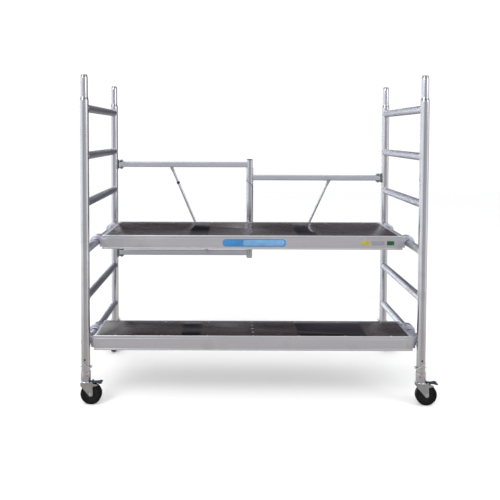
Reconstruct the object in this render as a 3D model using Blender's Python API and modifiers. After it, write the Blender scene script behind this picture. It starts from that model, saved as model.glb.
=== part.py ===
"""Folding mobile tower scaffold: two ladder end frames on braked castors, two hook-on
platforms and a two-leaf folding rear frame.

Units are metres and +Z is up.  The platforms run along X, the rear frame stands on the +Y
side, and the origin is the middle of the footprint, on the floor.
"""

import math

import bmesh
import bpy
from mathutils import Matrix, Vector

# Driving dimensions
FRAME_SPAN = 1.990          # between the axes of the left and right uprights
FRAME_DEPTH = 0.850         # between the axes of the front and rear uprights
RUNG_PITCH = 0.280          # ladder pitch
FIRST_RUNG = 0.355          # height of the lowest rung's axis
RUNG_COUNT = 6
GAP = 0.0003                # clearance between pieces that touch

# End frame tubes
TUBE_RADIUS = 0.0254
TUBE_WALL = 0.0020
TUBE_FOOT = 0.197           # lower end of the uprights
SHOULDER = 1.812            # where the upright is swaged down to its spigot
SPIGOT_RADIUS = 0.0210
SPIGOT_TIP_RADIUS = 0.0170
SPIGOT_TOP = 1.950
RUNG_RADIUS = 0.0230
TUBE_SIDES = 16
RUNG_SIDES = 12

# Leg stems, their snap pins and the holes for them
STEM_RADIUS = 0.0228
STEM_WALL = 0.0023
STEM_TOP = 0.335
COLLAR_RADIUS = 0.0285
COLLAR_FOOT = 0.142
PIN_HEIGHT = 0.225
SPARE_HOLE_HEIGHT = 0.272
PIN_RADIUS = 0.0042
HOLE_RADIUS = 0.0056
WIRE_RADIUS = 0.0018

# Castors
WHEEL_RADIUS = 0.0625
WHEEL_HALF_WIDTH = 0.0165
TRAIL = 0.032
AXLE_RADIUS = 0.006
LEG_INSIDE = 0.0185         # from the wheel's middle plane to a fork leg
LEG_THICKNESS = 0.0025
CROWN_FOOT = 0.1275
CROWN_TOP = 0.1340
KINGPIN_RADIUS = 0.0060
PEDAL_PIVOT = (0.037, 0.1325)
PEDAL_PIN_RADIUS = 0.0028
PEDAL_SLOPE = math.radians(2)
PEDAL_THICKNESS = 0.0040
PEDAL_LOBE_RADIUS = 0.0130
PEDAL_LOBE_PLACE = (0.0495, 0.018)    # from the pedal's pivot, along and to each side

# Platforms
PLATFORM_LENGTH = 1.900
UPPER_WIDTH = 0.560
LOWER_WIDTH = 0.280
UPPER_MIDDLE = 0.098        # Y of the upper platform's middle
LOWER_MIDDLE = -0.272
UPPER_RUNG = 2              # index of the rung that each platform hangs on
LOWER_RUNG = 0
BEAM_HEIGHT = 0.088
BEAM_WEB = 0.0035
BEAM_LEDGE = 0.0155         # from the beam's top to the ledge that carries the deck
RUNG_IN_BEAM = 0.038        # rung axis above the beam's lower edge
DECK_THICKNESS = 0.012
END_BEAM_DEPTH = 0.025
HOOK_WIDTH = 0.055
HOOK_INSET = 0.045
HOOK_CENTRE = (-0.0045, 0.0050)     # of the claw's outside, from the rung's axis
HOOK_RADIUS = 0.0425
HOOK_FOOT = -0.028
HOOK_ARM_TOP = 0.0295
HOOK_CLEARANCE = 0.0007

# Rear folding frame
PIVOT_OFFSET = 0.052        # from an upright's axis to its hinge bolt
RAIL_HEIGHT = 0.040
RAIL_DEPTH = 0.020
RAIL_WALL = 0.0020
RAIL_END = 0.013            # rail beyond its hinge bolt
LEFT_RAILS = (1.381, 0.730)
RIGHT_RAILS = (1.286, 0.825)
POST_RADIUS = 0.0212
POST_WALL = 0.0025
POST_FOOT = 0.692
POST_TOP = 1.416
SLEEVE_RADIUS = 0.0262
SLEEVE_BORE = 0.0217
SLEEVE_FOOT = 0.7535
SLEEVE_TOP = 1.3575
GROOVE_HEIGHT = 1.2468      # slanted groove around the sleeve, at the sleeve's axis
GROOVE_SLANT = math.radians(37.5)
GROOVE_WIDTH = 0.0024
GROOVE_DEPTH = 0.0020
STRUT_RADIUS = 0.0085
STRUT_WALL = 0.0015
BOLT_RADIUS = 0.0060
BRACKET_HALF_HEIGHT = 0.033
FLANGE_INSIDE = 0.0212      # from the rail's middle to a bracket flange
FLANGE_THICKNESS = 0.0050

HALF_SPAN = FRAME_SPAN / 2
HALF_DEPTH = FRAME_DEPTH / 2
HALF_LENGTH = PLATFORM_LENGTH / 2
PIVOT_X = HALF_SPAN - PIVOT_OFFSET
QUARTER = math.pi / 2

for leftover in list(bpy.data.objects):
    bpy.data.objects.remove(leftover, do_unlink=True)

scaffold = bpy.data.collections.new("mobile_tower_scaffold")
cutters = bpy.data.collections.new("cutters")
bpy.context.scene.collection.children.link(scaffold)
bpy.context.scene.collection.children.link(cutters)


def material(name, colour, metallic, roughness):
    """A plain Principled material."""
    mat = bpy.data.materials.new(name)
    mat.use_nodes = True
    shader = mat.node_tree.nodes["Principled BSDF"]
    shader.inputs["Base Color"].default_value = (*colour, 1.0)
    shader.inputs["Metallic"].default_value = metallic
    shader.inputs["Roughness"].default_value = roughness
    return mat


ALUMINIUM = material("aluminium_tube", (0.62, 0.62, 0.66), 1.0, 0.35)
EXTRUSION = material("aluminium_extrusion", (0.66, 0.67, 0.72), 1.0, 0.40)
CAST = material("cast_aluminium", (0.45, 0.46, 0.50), 1.0, 0.50)
PLYWOOD = material("phenolic_plywood", (0.045, 0.035, 0.035), 0.0, 0.35)
ZINC = material("zinc_plated_steel", (0.50, 0.52, 0.50), 1.0, 0.38)
RUBBER = material("black_rubber", (0.015, 0.015, 0.016), 0.0, 0.60)
SPRING_WIRE = material("spring_wire", (0.30, 0.29, 0.28), 1.0, 0.40)


def add(name, data, parent=None, location=(0, 0, 0), rotation=(0, 0, 0)):
    """Place mesh or curve data in the model as a named sub-part."""
    obj = bpy.data.objects.new(name, data)
    obj.location = location
    obj.rotation_euler = rotation
    obj.parent = parent
    scaffold.objects.link(obj)
    return obj


def pivot(name, parent, location, turn=0.0):
    """An empty on a joint's axis, or at the foot of an assembly."""
    empty = add(name, None, parent, location, (0, 0, turn))
    empty.empty_display_size = 0.05
    return empty


def helper(data, location=(0, 0, 0), rotation=(0, 0, 0)):
    """A cutter or a piece to be joined: out of the model, shown as wire."""
    obj = bpy.data.objects.new("helper", data)
    obj.location = location
    obj.rotation_euler = rotation
    obj.display_type = "WIRE"
    obj.hide_render = True
    cutters.objects.link(obj)
    return obj


def mesh_from(build):
    """New mesh filled by a function that takes a bmesh."""
    bm = bmesh.new()
    build(bm)
    bmesh.ops.recalc_face_normals(bm, faces=bm.faces)
    mesh = bpy.data.meshes.new("mesh")
    bm.to_mesh(mesh)
    bm.free()
    return mesh


def box_mesh(low, high):
    """Box between two corners."""
    size = Vector(high) - Vector(low)
    centre = (Vector(high) + Vector(low)) / 2
    frame = Matrix.Translation(centre) @ Matrix.Diagonal((*size, 1.0))
    return mesh_from(lambda bm: bmesh.ops.create_cube(bm, size=1.0, matrix=frame))


def rod_mesh(radius, start, end, sides=12):
    """Solid cylinder between two points."""
    run = Vector(end) - Vector(start)
    turn = run.to_track_quat("Z", "Y").to_matrix().to_4x4()
    frame = Matrix.Translation((Vector(start) + Vector(end)) / 2) @ turn
    return mesh_from(lambda bm: bmesh.ops.create_cone(
        bm, cap_ends=True, segments=sides, radius1=radius, radius2=radius,
        depth=run.length, matrix=frame))


def arc(centre, radius, first, last, steps):
    """Points along an arc, in the outline's own plane, with angles in degrees."""
    points = []
    for step in range(steps + 1):
        angle = math.radians(first + (last - first) * step / steps)
        points.append((centre[0] + radius * math.cos(angle),
                       centre[1] + radius * math.sin(angle)))
    return points


def outline_curve(points, thickness):
    """Flat outline with a thickness along its local Z."""
    curve = bpy.data.curves.new("outline", "CURVE")
    curve.dimensions = "2D"
    curve.fill_mode = "BOTH"
    curve.extrude = thickness / 2
    spline = curve.splines.new("POLY")
    spline.points.add(len(points) - 1)
    for point, (across, up) in zip(spline.points, points):
        point.co = (across, up, 0, 1)
    spline.use_cyclic_u = True
    return curve


def turned_object(profile, sides):
    """Helper that is a closed profile (radius, height) turned around Z."""
    mesh = bpy.data.meshes.new("profile")
    edges = [(i, (i + 1) % len(profile)) for i in range(len(profile))]
    mesh.from_pydata([(radius, 0, height) for radius, height in profile], edges, [])
    obj = helper(mesh)
    screw = obj.modifiers.new("turn", "SCREW")
    screw.steps = sides
    screw.render_steps = sides
    screw.use_merge_vertices = True
    screw.merge_threshold = 0.00005
    return obj


def as_mesh(obj):
    """Replace a helper by a mesh of its evaluated shape, welded and in world space."""
    bpy.context.view_layer.update()
    depsgraph = bpy.context.evaluated_depsgraph_get()
    mesh = bpy.data.meshes.new_from_object(obj.evaluated_get(depsgraph))
    mesh.transform(obj.matrix_world)
    bm = bmesh.new()
    bm.from_mesh(mesh)
    bmesh.ops.remove_doubles(bm, verts=bm.verts, dist=0.00002)
    bm.to_mesh(mesh)
    bm.free()
    bpy.data.objects.remove(obj, do_unlink=True)
    return mesh


def combine(base, others, operation):
    """Boolean of a helper with others, which are used up; returns the changed helper."""
    for other in others:
        step = base.modifiers.new(operation.lower(), "BOOLEAN")
        step.operation = operation
        step.solver = "EXACT"
        step.object = other
    result = helper(as_mesh(base))
    for other in others:
        bpy.data.objects.remove(other, do_unlink=True)
    return result


def finished(obj, name, mat):
    """Mesh of a finished helper, named, given its material and shaded."""
    mesh = as_mesh(obj)
    mesh.name = name
    mesh.materials.clear()
    mesh.materials.append(mat)
    mesh.shade_smooth()
    mesh.set_sharp_from_angle(angle=math.radians(35))
    return mesh


def open_tube(length, width, height, wall, corner):
    """Rectangular tube along X, open at both ends, with rounded corners."""
    def build(bm):
        size = Matrix.Diagonal((length, width, height, 1.0))
        bmesh.ops.create_cube(bm, size=1.0, matrix=size)
        ends = [face for face in bm.faces if abs(face.normal.x) > 0.5]
        bmesh.ops.delete(bm, geom=ends, context="FACES_ONLY")
        long_edges = [edge for edge in bm.edges
                      if abs(edge.verts[0].co.x - edge.verts[1].co.x) > length / 2]
        bmesh.ops.bevel(bm, geom=long_edges, offset=corner, segments=2, profile=0.5,
                        affect="EDGES")
    obj = helper(mesh_from(build))
    shell = obj.modifiers.new("wall", "SOLIDIFY")
    shell.thickness = wall
    shell.offset = -1.0
    return obj


def round_tube(radius, wall, start, end, sides):
    """Round tube between two points, open at both ends."""
    run = Vector(end) - Vector(start)
    turn = run.to_track_quat("Z", "Y").to_matrix().to_4x4()
    frame = Matrix.Translation((Vector(start) + Vector(end)) / 2) @ turn
    obj = helper(mesh_from(lambda bm: bmesh.ops.create_cone(
        bm, cap_ends=False, segments=sides, radius1=radius, radius2=radius,
        depth=run.length, matrix=frame)))
    shell = obj.modifiers.new("wall", "SOLIDIFY")
    shell.thickness = wall
    shell.offset = -1.0
    return obj


def leg_holes():
    """Cutters for the snap pin's cross hole and the spare hole in the front wall."""
    reach = 2 * TUBE_RADIUS
    cross = rod_mesh(HOLE_RADIUS, (-reach, 0, PIN_HEIGHT), (reach, 0, PIN_HEIGHT), 8)
    spare = rod_mesh(HOLE_RADIUS, (0, -reach, SPARE_HOLE_HEIGHT), (0, 0, SPARE_HOLE_HEIGHT), 8)
    return [helper(cross), helper(spare)]


# ---------------------------------------------------------------- end frames

def upright_mesh():
    """Upright tube with its swaged spigot, pin hole and spare hole."""
    bore = TUBE_RADIUS - TUBE_WALL
    spigot_bore = SPIGOT_RADIUS - TUBE_WALL
    swage = 0.010
    taper = 0.020
    profile = [
        (SPIGOT_TIP_RADIUS, SPIGOT_TOP),
        (SPIGOT_RADIUS, SPIGOT_TOP - taper),
        (SPIGOT_RADIUS, SHOULDER + swage),
        (TUBE_RADIUS, SHOULDER),
        (TUBE_RADIUS, TUBE_FOOT),
        (bore, TUBE_FOOT),
        (bore, SHOULDER - swage),
        (spigot_bore, SHOULDER),
        (spigot_bore, SPIGOT_TOP - taper),
        (SPIGOT_TIP_RADIUS - TUBE_WALL, SPIGOT_TOP),
    ]
    tube = helper(as_mesh(turned_object(profile, TUBE_SIDES)))
    return finished(combine(tube, leg_holes(), "DIFFERENCE"), "upright", ALUMINIUM)


def rung_mesh():
    """Rung along Y, its ends coped to the uprights."""
    tube = helper(as_mesh(round_tube(RUNG_RADIUS, TUBE_WALL, (0, -HALF_DEPTH, 0),
                                     (0, HALF_DEPTH, 0), RUNG_SIDES)))
    copes = []
    for side in (-1, 1):
        foot = (0, side * HALF_DEPTH, -0.1)
        head = (0, side * HALF_DEPTH, 0.1)
        copes.append(helper(rod_mesh(TUBE_RADIUS + GAP, foot, head, TUBE_SIDES)))
    return finished(combine(tube, copes, "DIFFERENCE"), "rung", ALUMINIUM)


def stem_mesh():
    """Leg stem: a collar under the upright and a tube inside it, with a bored foot."""
    bore = STEM_RADIUS - STEM_WALL
    collar_top = TUBE_FOOT - GAP
    kingpin_hole = KINGPIN_RADIUS + 0.0008
    floor = COLLAR_FOOT + 0.008
    profile = [
        (STEM_RADIUS, STEM_TOP),
        (STEM_RADIUS, collar_top),
        (COLLAR_RADIUS, collar_top),
        (COLLAR_RADIUS, COLLAR_FOOT),
        (kingpin_hole, COLLAR_FOOT),
        (kingpin_hole, floor),
        (bore, floor),
        (bore, STEM_TOP),
    ]
    tube = helper(as_mesh(turned_object(profile, RUNG_SIDES)))
    return finished(combine(tube, leg_holes(), "DIFFERENCE"), "stem", ZINC)


def snap_pin_mesh(side):
    """Pin along X with its knob at +X and a wire clip across the tube at side * Y."""
    pin = helper(rod_mesh(PIN_RADIUS, (-0.031, 0, 0), (0.032, 0, 0), 8))
    knob = helper(rod_mesh(0.0080, (0.0285, 0, 0), (0.0375, 0, 0), 8))
    route = [(0.034, 0.0, 0.0), (0.036, 0.014, -0.001), (0.033, 0.027, 0.001),
             (0.024, 0.0325, 0.005), (0.0, 0.0325, 0.012), (-0.018, 0.0325, 0.019)]
    wire = bpy.data.curves.new("wire", "CURVE")
    wire.dimensions = "3D"
    wire.bevel_depth = WIRE_RADIUS
    wire.bevel_resolution = 1
    wire.use_fill_caps = True
    spline = wire.splines.new("POLY")
    spline.points.add(len(route) - 1)
    for point, (along, across, up) in zip(spline.points, route):
        point.co = (along, side * across, up, 1)
    clip = helper(as_mesh(helper(wire)))
    return finished(combine(pin, [knob, clip], "UNION"), "snap_pin", SPRING_WIRE)


# ---------------------------------------------------------------- castors

def fork_mesh():
    """Castor fork, trailing along +X: legs, crown, swivel ring, kingpin and axle."""
    pin_x, pin_z = PEDAL_PIVOT
    axle = (TRAIL, WHEEL_RADIUS)
    leg_top = CROWN_TOP - 0.0005
    leg = [(-0.028, leg_top), (-0.028, 0.114)]
    leg += arc(axle, 0.013, 200, 370, 5)
    leg += [(0.0435, 0.1100), (0.0680, 0.1140), (0.0740, 0.1180), (0.0725, 0.1222), (0.0460, 0.1275)]
    leg += arc((pin_x, pin_z), 0.0062, 0, 140, 3)
    leg += [(0.029, leg_top)]
    outer = LEG_INSIDE + LEG_THICKNESS
    crown = helper(box_mesh((-0.0265, -outer + 0.001, CROWN_FOOT),
                            (0.0285, outer - 0.001, CROWN_TOP)))
    others = []
    for side in (-1, 1):
        place = (0, side * (LEG_INSIDE + LEG_THICKNESS / 2), 0)
        plate = helper(outline_curve(leg, LEG_THICKNESS), place, (QUARTER, 0, 0))
        others.append(helper(as_mesh(plate)))
    others.append(helper(rod_mesh(0.0275, (0, 0, CROWN_TOP - 0.001), (0, 0, 0.1415), 12)))
    others.append(helper(rod_mesh(KINGPIN_RADIUS, (0, 0, 0.140), (0, 0, 0.163), 8)))
    others.append(helper(rod_mesh(0.0110, (0, 0, 0.1505), (0, 0, 0.1580), 6)))
    others.append(helper(rod_mesh(AXLE_RADIUS, (TRAIL, -0.0300, WHEEL_RADIUS),
                                  (TRAIL, 0.0300, WHEEL_RADIUS), 12)))
    for side in (-1, 1):
        others.append(helper(rod_mesh(0.0095, (TRAIL, side * (outer - 0.0005), WHEEL_RADIUS),
                                      (TRAIL, side * 0.0275, WHEEL_RADIUS), 6)))
    others.append(helper(rod_mesh(PEDAL_PIN_RADIUS, (pin_x, -outer + 0.001, pin_z),
                                  (pin_x, outer - 0.001, pin_z), 8)))
    return finished(combine(crown, others, "UNION"), "castor_fork", ZINC)


def wheel_mesh():
    """Castor wheel around its own axle along Y, with a rounded tread and a hub."""
    half = WHEEL_HALF_WIDTH
    bore = AXLE_RADIUS + 0.0006
    hub = 0.0172
    disc_half = 0.0090
    profile = [
        (0.0590, half), (WHEEL_RADIUS, half - 0.0060), (WHEEL_RADIUS, 0.0060 - half),
        (0.0590, -half), (0.0470, -half), (0.0440, -disc_half), (0.0180, -disc_half),
        (0.0160, -hub), (bore, -hub), (bore, hub), (0.0160, hub), (0.0180, disc_half),
        (0.0440, disc_half), (0.0470, half),
    ]
    disc = turned_object(profile, 20)
    disc.rotation_euler = (QUARTER, 0, 0)
    return finished(disc, "castor_wheel", RUBBER)


def pedal_mesh():
    """Two-lobed brake pedal around its own pivot along Y, sloping down along +X."""
    neck = 0.0150
    barrel_half = LEG_INSIDE - 0.0013
    barrel = helper(rod_mesh(0.0055, (0, -barrel_half, 0), (0, barrel_half, 0), 10))
    along, across = PEDAL_LOBE_PLACE
    plate = [(0.002, -neck), (0.024, -neck)]
    plate += arc((along, -across), PEDAL_LOBE_RADIUS, 200, 410, 7)
    plate += [(along + 0.0060, 0.0)]
    plate += arc((along, across), PEDAL_LOBE_RADIUS, -50, 160, 7)
    plate += [(0.024, neck), (0.002, neck)]
    tread = helper(as_mesh(helper(outline_curve(plate, PEDAL_THICKNESS),
                                  rotation=(0, PEDAL_SLOPE, 0))))
    joined = combine(barrel, [tread], "UNION")
    bore = helper(rod_mesh(PEDAL_PIN_RADIUS + 0.0006, (0, -0.02, 0), (0, 0.02, 0), 8))
    return finished(combine(joined, [bore], "DIFFERENCE"), "brake_pedal", ZINC)


# ---------------------------------------------------------------- platforms

def side_beam_curve():
    """Edge beam profile: outer web with a lip on top, a deck ledge and a foot flange."""
    ledge = BEAM_HEIGHT - BEAM_LEDGE
    groove = 0.0010
    points = [
        (0, 0), (0.028, 0), (0.028, 0.0025), (BEAM_WEB, 0.0025),
        (BEAM_WEB, ledge - 0.0025), (0.030, ledge - 0.0025), (0.030, ledge),
        (BEAM_WEB, ledge), (BEAM_WEB, BEAM_HEIGHT), (0, BEAM_HEIGHT),
        (0, BEAM_HEIGHT - 0.012), (groove, BEAM_HEIGHT - 0.0135),
        (groove, 0.0080), (0, 0.0065),
    ]
    curve = outline_curve(points, PLATFORM_LENGTH)
    curve.materials.append(EXTRUSION)
    return curve


def hook_curve():
    """Cast claw over a rung, centred on the rung's axis, with its arm towards -X."""
    inner = RUNG_RADIUS + HOOK_CLEARANCE
    edge = HALF_LENGTH - HALF_SPAN + GAP
    arm = HALF_LENGTH - HALF_SPAN - 0.0015
    points = [(arm, HOOK_FOOT), (-inner, HOOK_FOOT)]
    points += arc((0, 0), inner, 180, 0, 10)
    points += [(inner, -0.0105), (inner + 0.0070, -0.0135)]
    outside = arc(HOOK_CENTRE, HOOK_RADIUS, -25, 132, 10)
    points += outside + [(edge, outside[-1][1]), (edge, HOOK_ARM_TOP), (arm, HOOK_ARM_TOP)]
    return outline_curve(points, HOOK_WIDTH)


def end_beam_mesh(width):
    """Hollow end beam at +X with two claws, in the frame of its platform."""
    low = 0.0025 + GAP
    high = BEAM_HEIGHT - BEAM_LEDGE - 0.0025 - GAP
    reach = width / 2 - BEAM_WEB - GAP
    box = open_tube(2 * reach, END_BEAM_DEPTH, high - low, 0.0025, 0.002)
    box.rotation_euler = (0, 0, QUARTER)
    box.location = (HALF_LENGTH - END_BEAM_DEPTH / 2, 0, (low + high) / 2)
    beam = helper(as_mesh(box))
    hooks = []
    for side in (-1, 1):
        place = (HALF_SPAN, side * (width / 2 - HOOK_INSET), RUNG_IN_BEAM)
        hooks.append(helper(as_mesh(helper(hook_curve(), place, (QUARTER, 0, 0)))))
    return finished(combine(beam, hooks, "UNION"), "end_beam", CAST)


def cross_member_mesh(width):
    """Hollow cross-member under the middle of a deck."""
    high = BEAM_HEIGHT - BEAM_LEDGE - 0.0025 - GAP
    depth = 0.030
    box = open_tube(width - 2 * (BEAM_WEB + GAP), 0.050, depth, 0.002, 0.002)
    box.rotation_euler = (0, 0, QUARTER)
    box.location = (0, 0, high - depth / 2)
    return finished(box, "cross_member", EXTRUSION)


def deck_mesh(width):
    """Plywood deck on the ledges of the side beams."""
    foot = BEAM_HEIGHT - BEAM_LEDGE + GAP
    half_width = width / 2 - BEAM_WEB - GAP
    low = (0.001 - HALF_LENGTH, -half_width, foot)
    high = (HALF_LENGTH - 0.001, half_width, foot + DECK_THICKNESS)
    return finished(helper(box_mesh(low, high)), "deck", PLYWOOD)


def platform(name, parent, middle, rung, width):
    """A platform on its own pivot, which rises with it when it is lifted off."""
    height = FIRST_RUNG + RUNG_PITCH * rung - RUNG_IN_BEAM
    base = pivot(name + "_lift", parent, (0, middle, height))
    beam = side_beam_curve()
    add(name + "_front_beam", beam, base, (0, -width / 2, 0), (QUARTER, 0, QUARTER))
    add(name + "_rear_beam", beam, base, (0, width / 2, 0), (QUARTER, 0, -QUARTER))
    end = end_beam_mesh(width)
    add(name + "_end_beam_right", end, base)
    add(name + "_end_beam_left", end, base, rotation=(0, 0, math.pi))
    add(name + "_cross_member", cross_member_mesh(width), base)
    add(name + "_deck", deck_mesh(width), base)


# ---------------------------------------------------------------- rear folding frame

def rail_mesh(cope_radius):
    """Rail from its hinge bolt, at the origin, along +X to the centre post."""
    length = PIVOT_X + RAIL_END
    tube = open_tube(length, RAIL_DEPTH, RAIL_HEIGHT, RAIL_WALL, 0.003)
    tube.location = (length / 2 - RAIL_END, 0, 0)
    rail = helper(as_mesh(tube))
    reach = RAIL_HEIGHT
    post = helper(rod_mesh(cope_radius, (PIVOT_X, 0, -reach), (PIVOT_X, 0, reach), TUBE_SIDES))
    bolt = helper(rod_mesh(BOLT_RADIUS + 0.0010, (0, 0, -reach), (0, 0, reach), 8))
    return finished(combine(rail, [post, bolt], "DIFFERENCE"), "rail", EXTRUSION)


def bracket_mesh(with_bolt):
    """Hinge bracket with its bolt at the origin and its upright at -X."""
    web = helper(box_mesh((-0.0345, -0.017, -BRACKET_HALF_HEIGHT),
                          (-0.0200, 0.017, BRACKET_HALF_HEIGHT)))
    flange = [(-0.0210, -0.016)]
    flange += arc((0, 0), 0.016, -90, 90, 8)
    flange += [(-0.0210, 0.016)]
    flange_outside = FLANGE_INSIDE + FLANGE_THICKNESS
    head_outside = flange_outside + 0.0078
    others = []
    for side in (-1, 1):
        middle = (0, 0, side * (FLANGE_INSIDE + FLANGE_THICKNESS / 2))
        plate = helper(outline_curve(flange, FLANGE_THICKNESS), middle)
        others.append(helper(as_mesh(plate)))
        others.append(helper(rod_mesh(0.0095, (0, 0, side * (flange_outside - 0.001)),
                                      (0, 0, side * head_outside), 6)))
    if with_bolt:
        others.append(helper(rod_mesh(BOLT_RADIUS, (0, 0, -head_outside + 0.001),
                                      (0, 0, head_outside - 0.001), 8)))
    joined = combine(web, others, "UNION")
    axis = -PIVOT_OFFSET
    tube = helper(rod_mesh(TUBE_RADIUS + GAP, (axis, 0, -0.1), (axis, 0, 0.1), TUBE_SIDES))
    return finished(combine(joined, [tube], "DIFFERENCE"), "hinge_bracket", CAST)


def post_mesh():
    """Inner post of the centre hinge."""
    bore = POST_RADIUS - POST_WALL
    profile = [(POST_RADIUS, POST_TOP), (POST_RADIUS, POST_FOOT + 0.004),
               (POST_RADIUS - 0.002, POST_FOOT), (bore, POST_FOOT), (bore, POST_TOP)]
    return finished(turned_object(profile, TUBE_SIDES), "centre_post", ALUMINIUM)


def sleeve_mesh():
    """Outer sleeve of the centre hinge, with a slanted groove that is low at the right."""
    profile = [(SLEEVE_RADIUS, SLEEVE_TOP), (SLEEVE_RADIUS, SLEEVE_FOOT),
               (SLEEVE_BORE, SLEEVE_FOOT), (SLEEVE_BORE, SLEEVE_TOP)]
    tube = helper(as_mesh(turned_object(profile, TUBE_SIDES)))
    half = GROOVE_WIDTH / 2
    ring = helper(box_mesh((-0.06, -0.06, -half), (0.06, 0.06, half)), (0, 0, GROOVE_HEIGHT),
                  (0, GROOVE_SLANT, 0))
    core = helper(rod_mesh(SLEEVE_RADIUS - GROOVE_DEPTH, (0, 0, 1.15), (0, 0, 1.35), TUBE_SIDES))
    ring = combine(ring, [core], "DIFFERENCE")
    return finished(combine(tube, [ring], "DIFFERENCE"), "centre_sleeve", ALUMINIUM)


def strut_mesh(top, foot):
    """Diagonal strut behind the rails, between two (along, height) points."""
    behind = RAIL_DEPTH / 2 + GAP + STRUT_RADIUS
    tube = round_tube(STRUT_RADIUS, STRUT_WALL, (foot[0], behind, foot[1]),
                      (top[0], behind, top[1]), 10)
    return finished(tube, "strut", ALUMINIUM)


def rear_frame(parent):
    """Both leaves of the rear frame and the brackets that they hang on."""
    left_axis = pivot("rear_left_leaf_hinge", parent, (-PIVOT_X, HALF_DEPTH, 0))
    post_axis = pivot("rear_right_leaf_hinge", left_axis, (PIVOT_X, 0, 0))
    left_rail = rail_mesh(POST_RADIUS + GAP)
    right_rail = rail_mesh(SLEEVE_RADIUS + GAP)
    left_bracket = bracket_mesh(True)
    right_bracket = bracket_mesh(False)
    for level, left, right in zip(("upper", "lower"), LEFT_RAILS, RIGHT_RAILS):
        add(f"rear_left_{level}_rail", left_rail, left_axis, (0, 0, left))
        add(f"rear_right_{level}_rail", right_rail, post_axis, (PIVOT_X, 0, right),
            (0, 0, math.pi))
        add(f"hinge_bracket_left_{level}", left_bracket, parent, (-PIVOT_X, HALF_DEPTH, left))
        add(f"hinge_bracket_right_{level}", right_bracket, parent,
            (PIVOT_X, HALF_DEPTH, right), (0, 0, math.pi))
    add("centre_post", post_mesh(), left_axis, (PIVOT_X, 0, 0))
    add("centre_sleeve", sleeve_mesh(), post_axis)
    add("rear_left_strut", strut_mesh((0.361, 1.375), (0.634, 0.735)), left_axis)
    add("rear_right_strut", strut_mesh((0.592, 1.280), (0.388, 0.832)), post_axis)


# ---------------------------------------------------------------- assembly

def end_frames(parent):
    """Four uprights and the rungs between them."""
    upright = upright_mesh()
    rung = rung_mesh()
    for side, x in (("left", -HALF_SPAN), ("right", HALF_SPAN)):
        add(f"upright_front_{side}", upright, parent, (x, -HALF_DEPTH, 0))
        add(f"upright_rear_{side}", upright, parent, (x, HALF_DEPTH, 0), (0, 0, math.pi))
        for step in range(RUNG_COUNT):
            height = FIRST_RUNG + RUNG_PITCH * step
            add(f"rung_{side}_{step + 1}", rung, parent, (x, 0, height))


def legs(parent):
    """Stem, snap pin and castor of each corner; the rear left castor trails forward."""
    stem = stem_mesh()
    fork = fork_mesh()
    wheel = wheel_mesh()
    pedal = pedal_mesh()
    pins = {side: snap_pin_mesh(side) for side in (-1, 1)}
    corners = (
        ("front_left", -1, -1, 0.0),
        ("front_right", 1, -1, 0.0),
        ("rear_left", -1, 1, -QUARTER),
        ("rear_right", 1, 1, 0.0),
    )
    for corner, along, across, trailing in corners:
        foot = (along * HALF_SPAN, across * HALF_DEPTH, 0)
        faces_rear = 0.0 if across < 0 else math.pi
        add("leg_stem_" + corner, stem, parent, foot, (0, 0, faces_rear))
        inward = 0.0 if along < 0 else math.pi
        add("snap_pin_" + corner, pins[across if along < 0 else -across], parent,
            (foot[0], foot[1], PIN_HEIGHT), (0, 0, inward))
        swivel = pivot("castor_swivel_" + corner, parent, foot, trailing)
        add("castor_fork_" + corner, fork, swivel)
        add("castor_wheel_" + corner, wheel, swivel, (TRAIL, 0, WHEEL_RADIUS))
        add("brake_pedal_" + corner, pedal, swivel, (PEDAL_PIVOT[0], 0, PEDAL_PIVOT[1]))


def footprint_middle():
    """Middle of the model's box in X and Y."""
    bpy.context.view_layer.update()
    depsgraph = bpy.context.evaluated_depsgraph_get()
    points = []
    for obj in scaffold.objects:
        if obj.type != "EMPTY":
            shape = obj.evaluated_get(depsgraph)
            points += [shape.matrix_world @ vertex.co for vertex in shape.to_mesh().vertices]
            shape.to_mesh_clear()
    return [(min(point[axis] for point in points) + max(point[axis] for point in points)) / 2
            for axis in (0, 1)]


origin = pivot("scaffold_origin", None, (0, 0, 0))
end_frames(origin)
legs(origin)
platform("upper_platform", origin, UPPER_MIDDLE, UPPER_RUNG, UPPER_WIDTH)
platform("lower_platform", origin, LOWER_MIDDLE, LOWER_RUNG, LOWER_WIDTH)
rear_frame(origin)
middle_x, middle_y = footprint_middle()
origin.location = (-middle_x, -middle_y, 0)
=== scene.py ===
"""Looks of the folding mobile tower scaffold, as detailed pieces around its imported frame.

Units are metres and +Z is up.  The platforms run along X and the camera looks along +Y.
"""

import math

import bmesh
import bpy
from mathutils import Matrix, Vector


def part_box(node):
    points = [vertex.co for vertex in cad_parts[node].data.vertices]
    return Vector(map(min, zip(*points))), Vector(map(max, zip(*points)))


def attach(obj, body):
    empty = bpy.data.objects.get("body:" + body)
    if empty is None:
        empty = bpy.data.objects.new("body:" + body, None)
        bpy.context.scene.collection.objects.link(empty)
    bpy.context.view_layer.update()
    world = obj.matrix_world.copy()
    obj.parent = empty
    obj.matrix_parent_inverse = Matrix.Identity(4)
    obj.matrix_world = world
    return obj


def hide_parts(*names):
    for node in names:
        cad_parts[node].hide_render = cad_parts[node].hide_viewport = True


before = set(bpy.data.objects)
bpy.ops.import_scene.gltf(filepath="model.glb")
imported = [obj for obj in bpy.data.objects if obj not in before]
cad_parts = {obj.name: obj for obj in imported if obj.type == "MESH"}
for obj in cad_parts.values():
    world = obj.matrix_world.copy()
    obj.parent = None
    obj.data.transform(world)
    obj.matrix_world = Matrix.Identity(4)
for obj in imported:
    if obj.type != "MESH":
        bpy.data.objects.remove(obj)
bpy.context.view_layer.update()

SIDES = (-1, 1)
QUADRANTS = [(side, end) for side in SIDES for end in SIDES]
CORNERS = ("front_left", "front_right", "rear_left", "rear_right")

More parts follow.
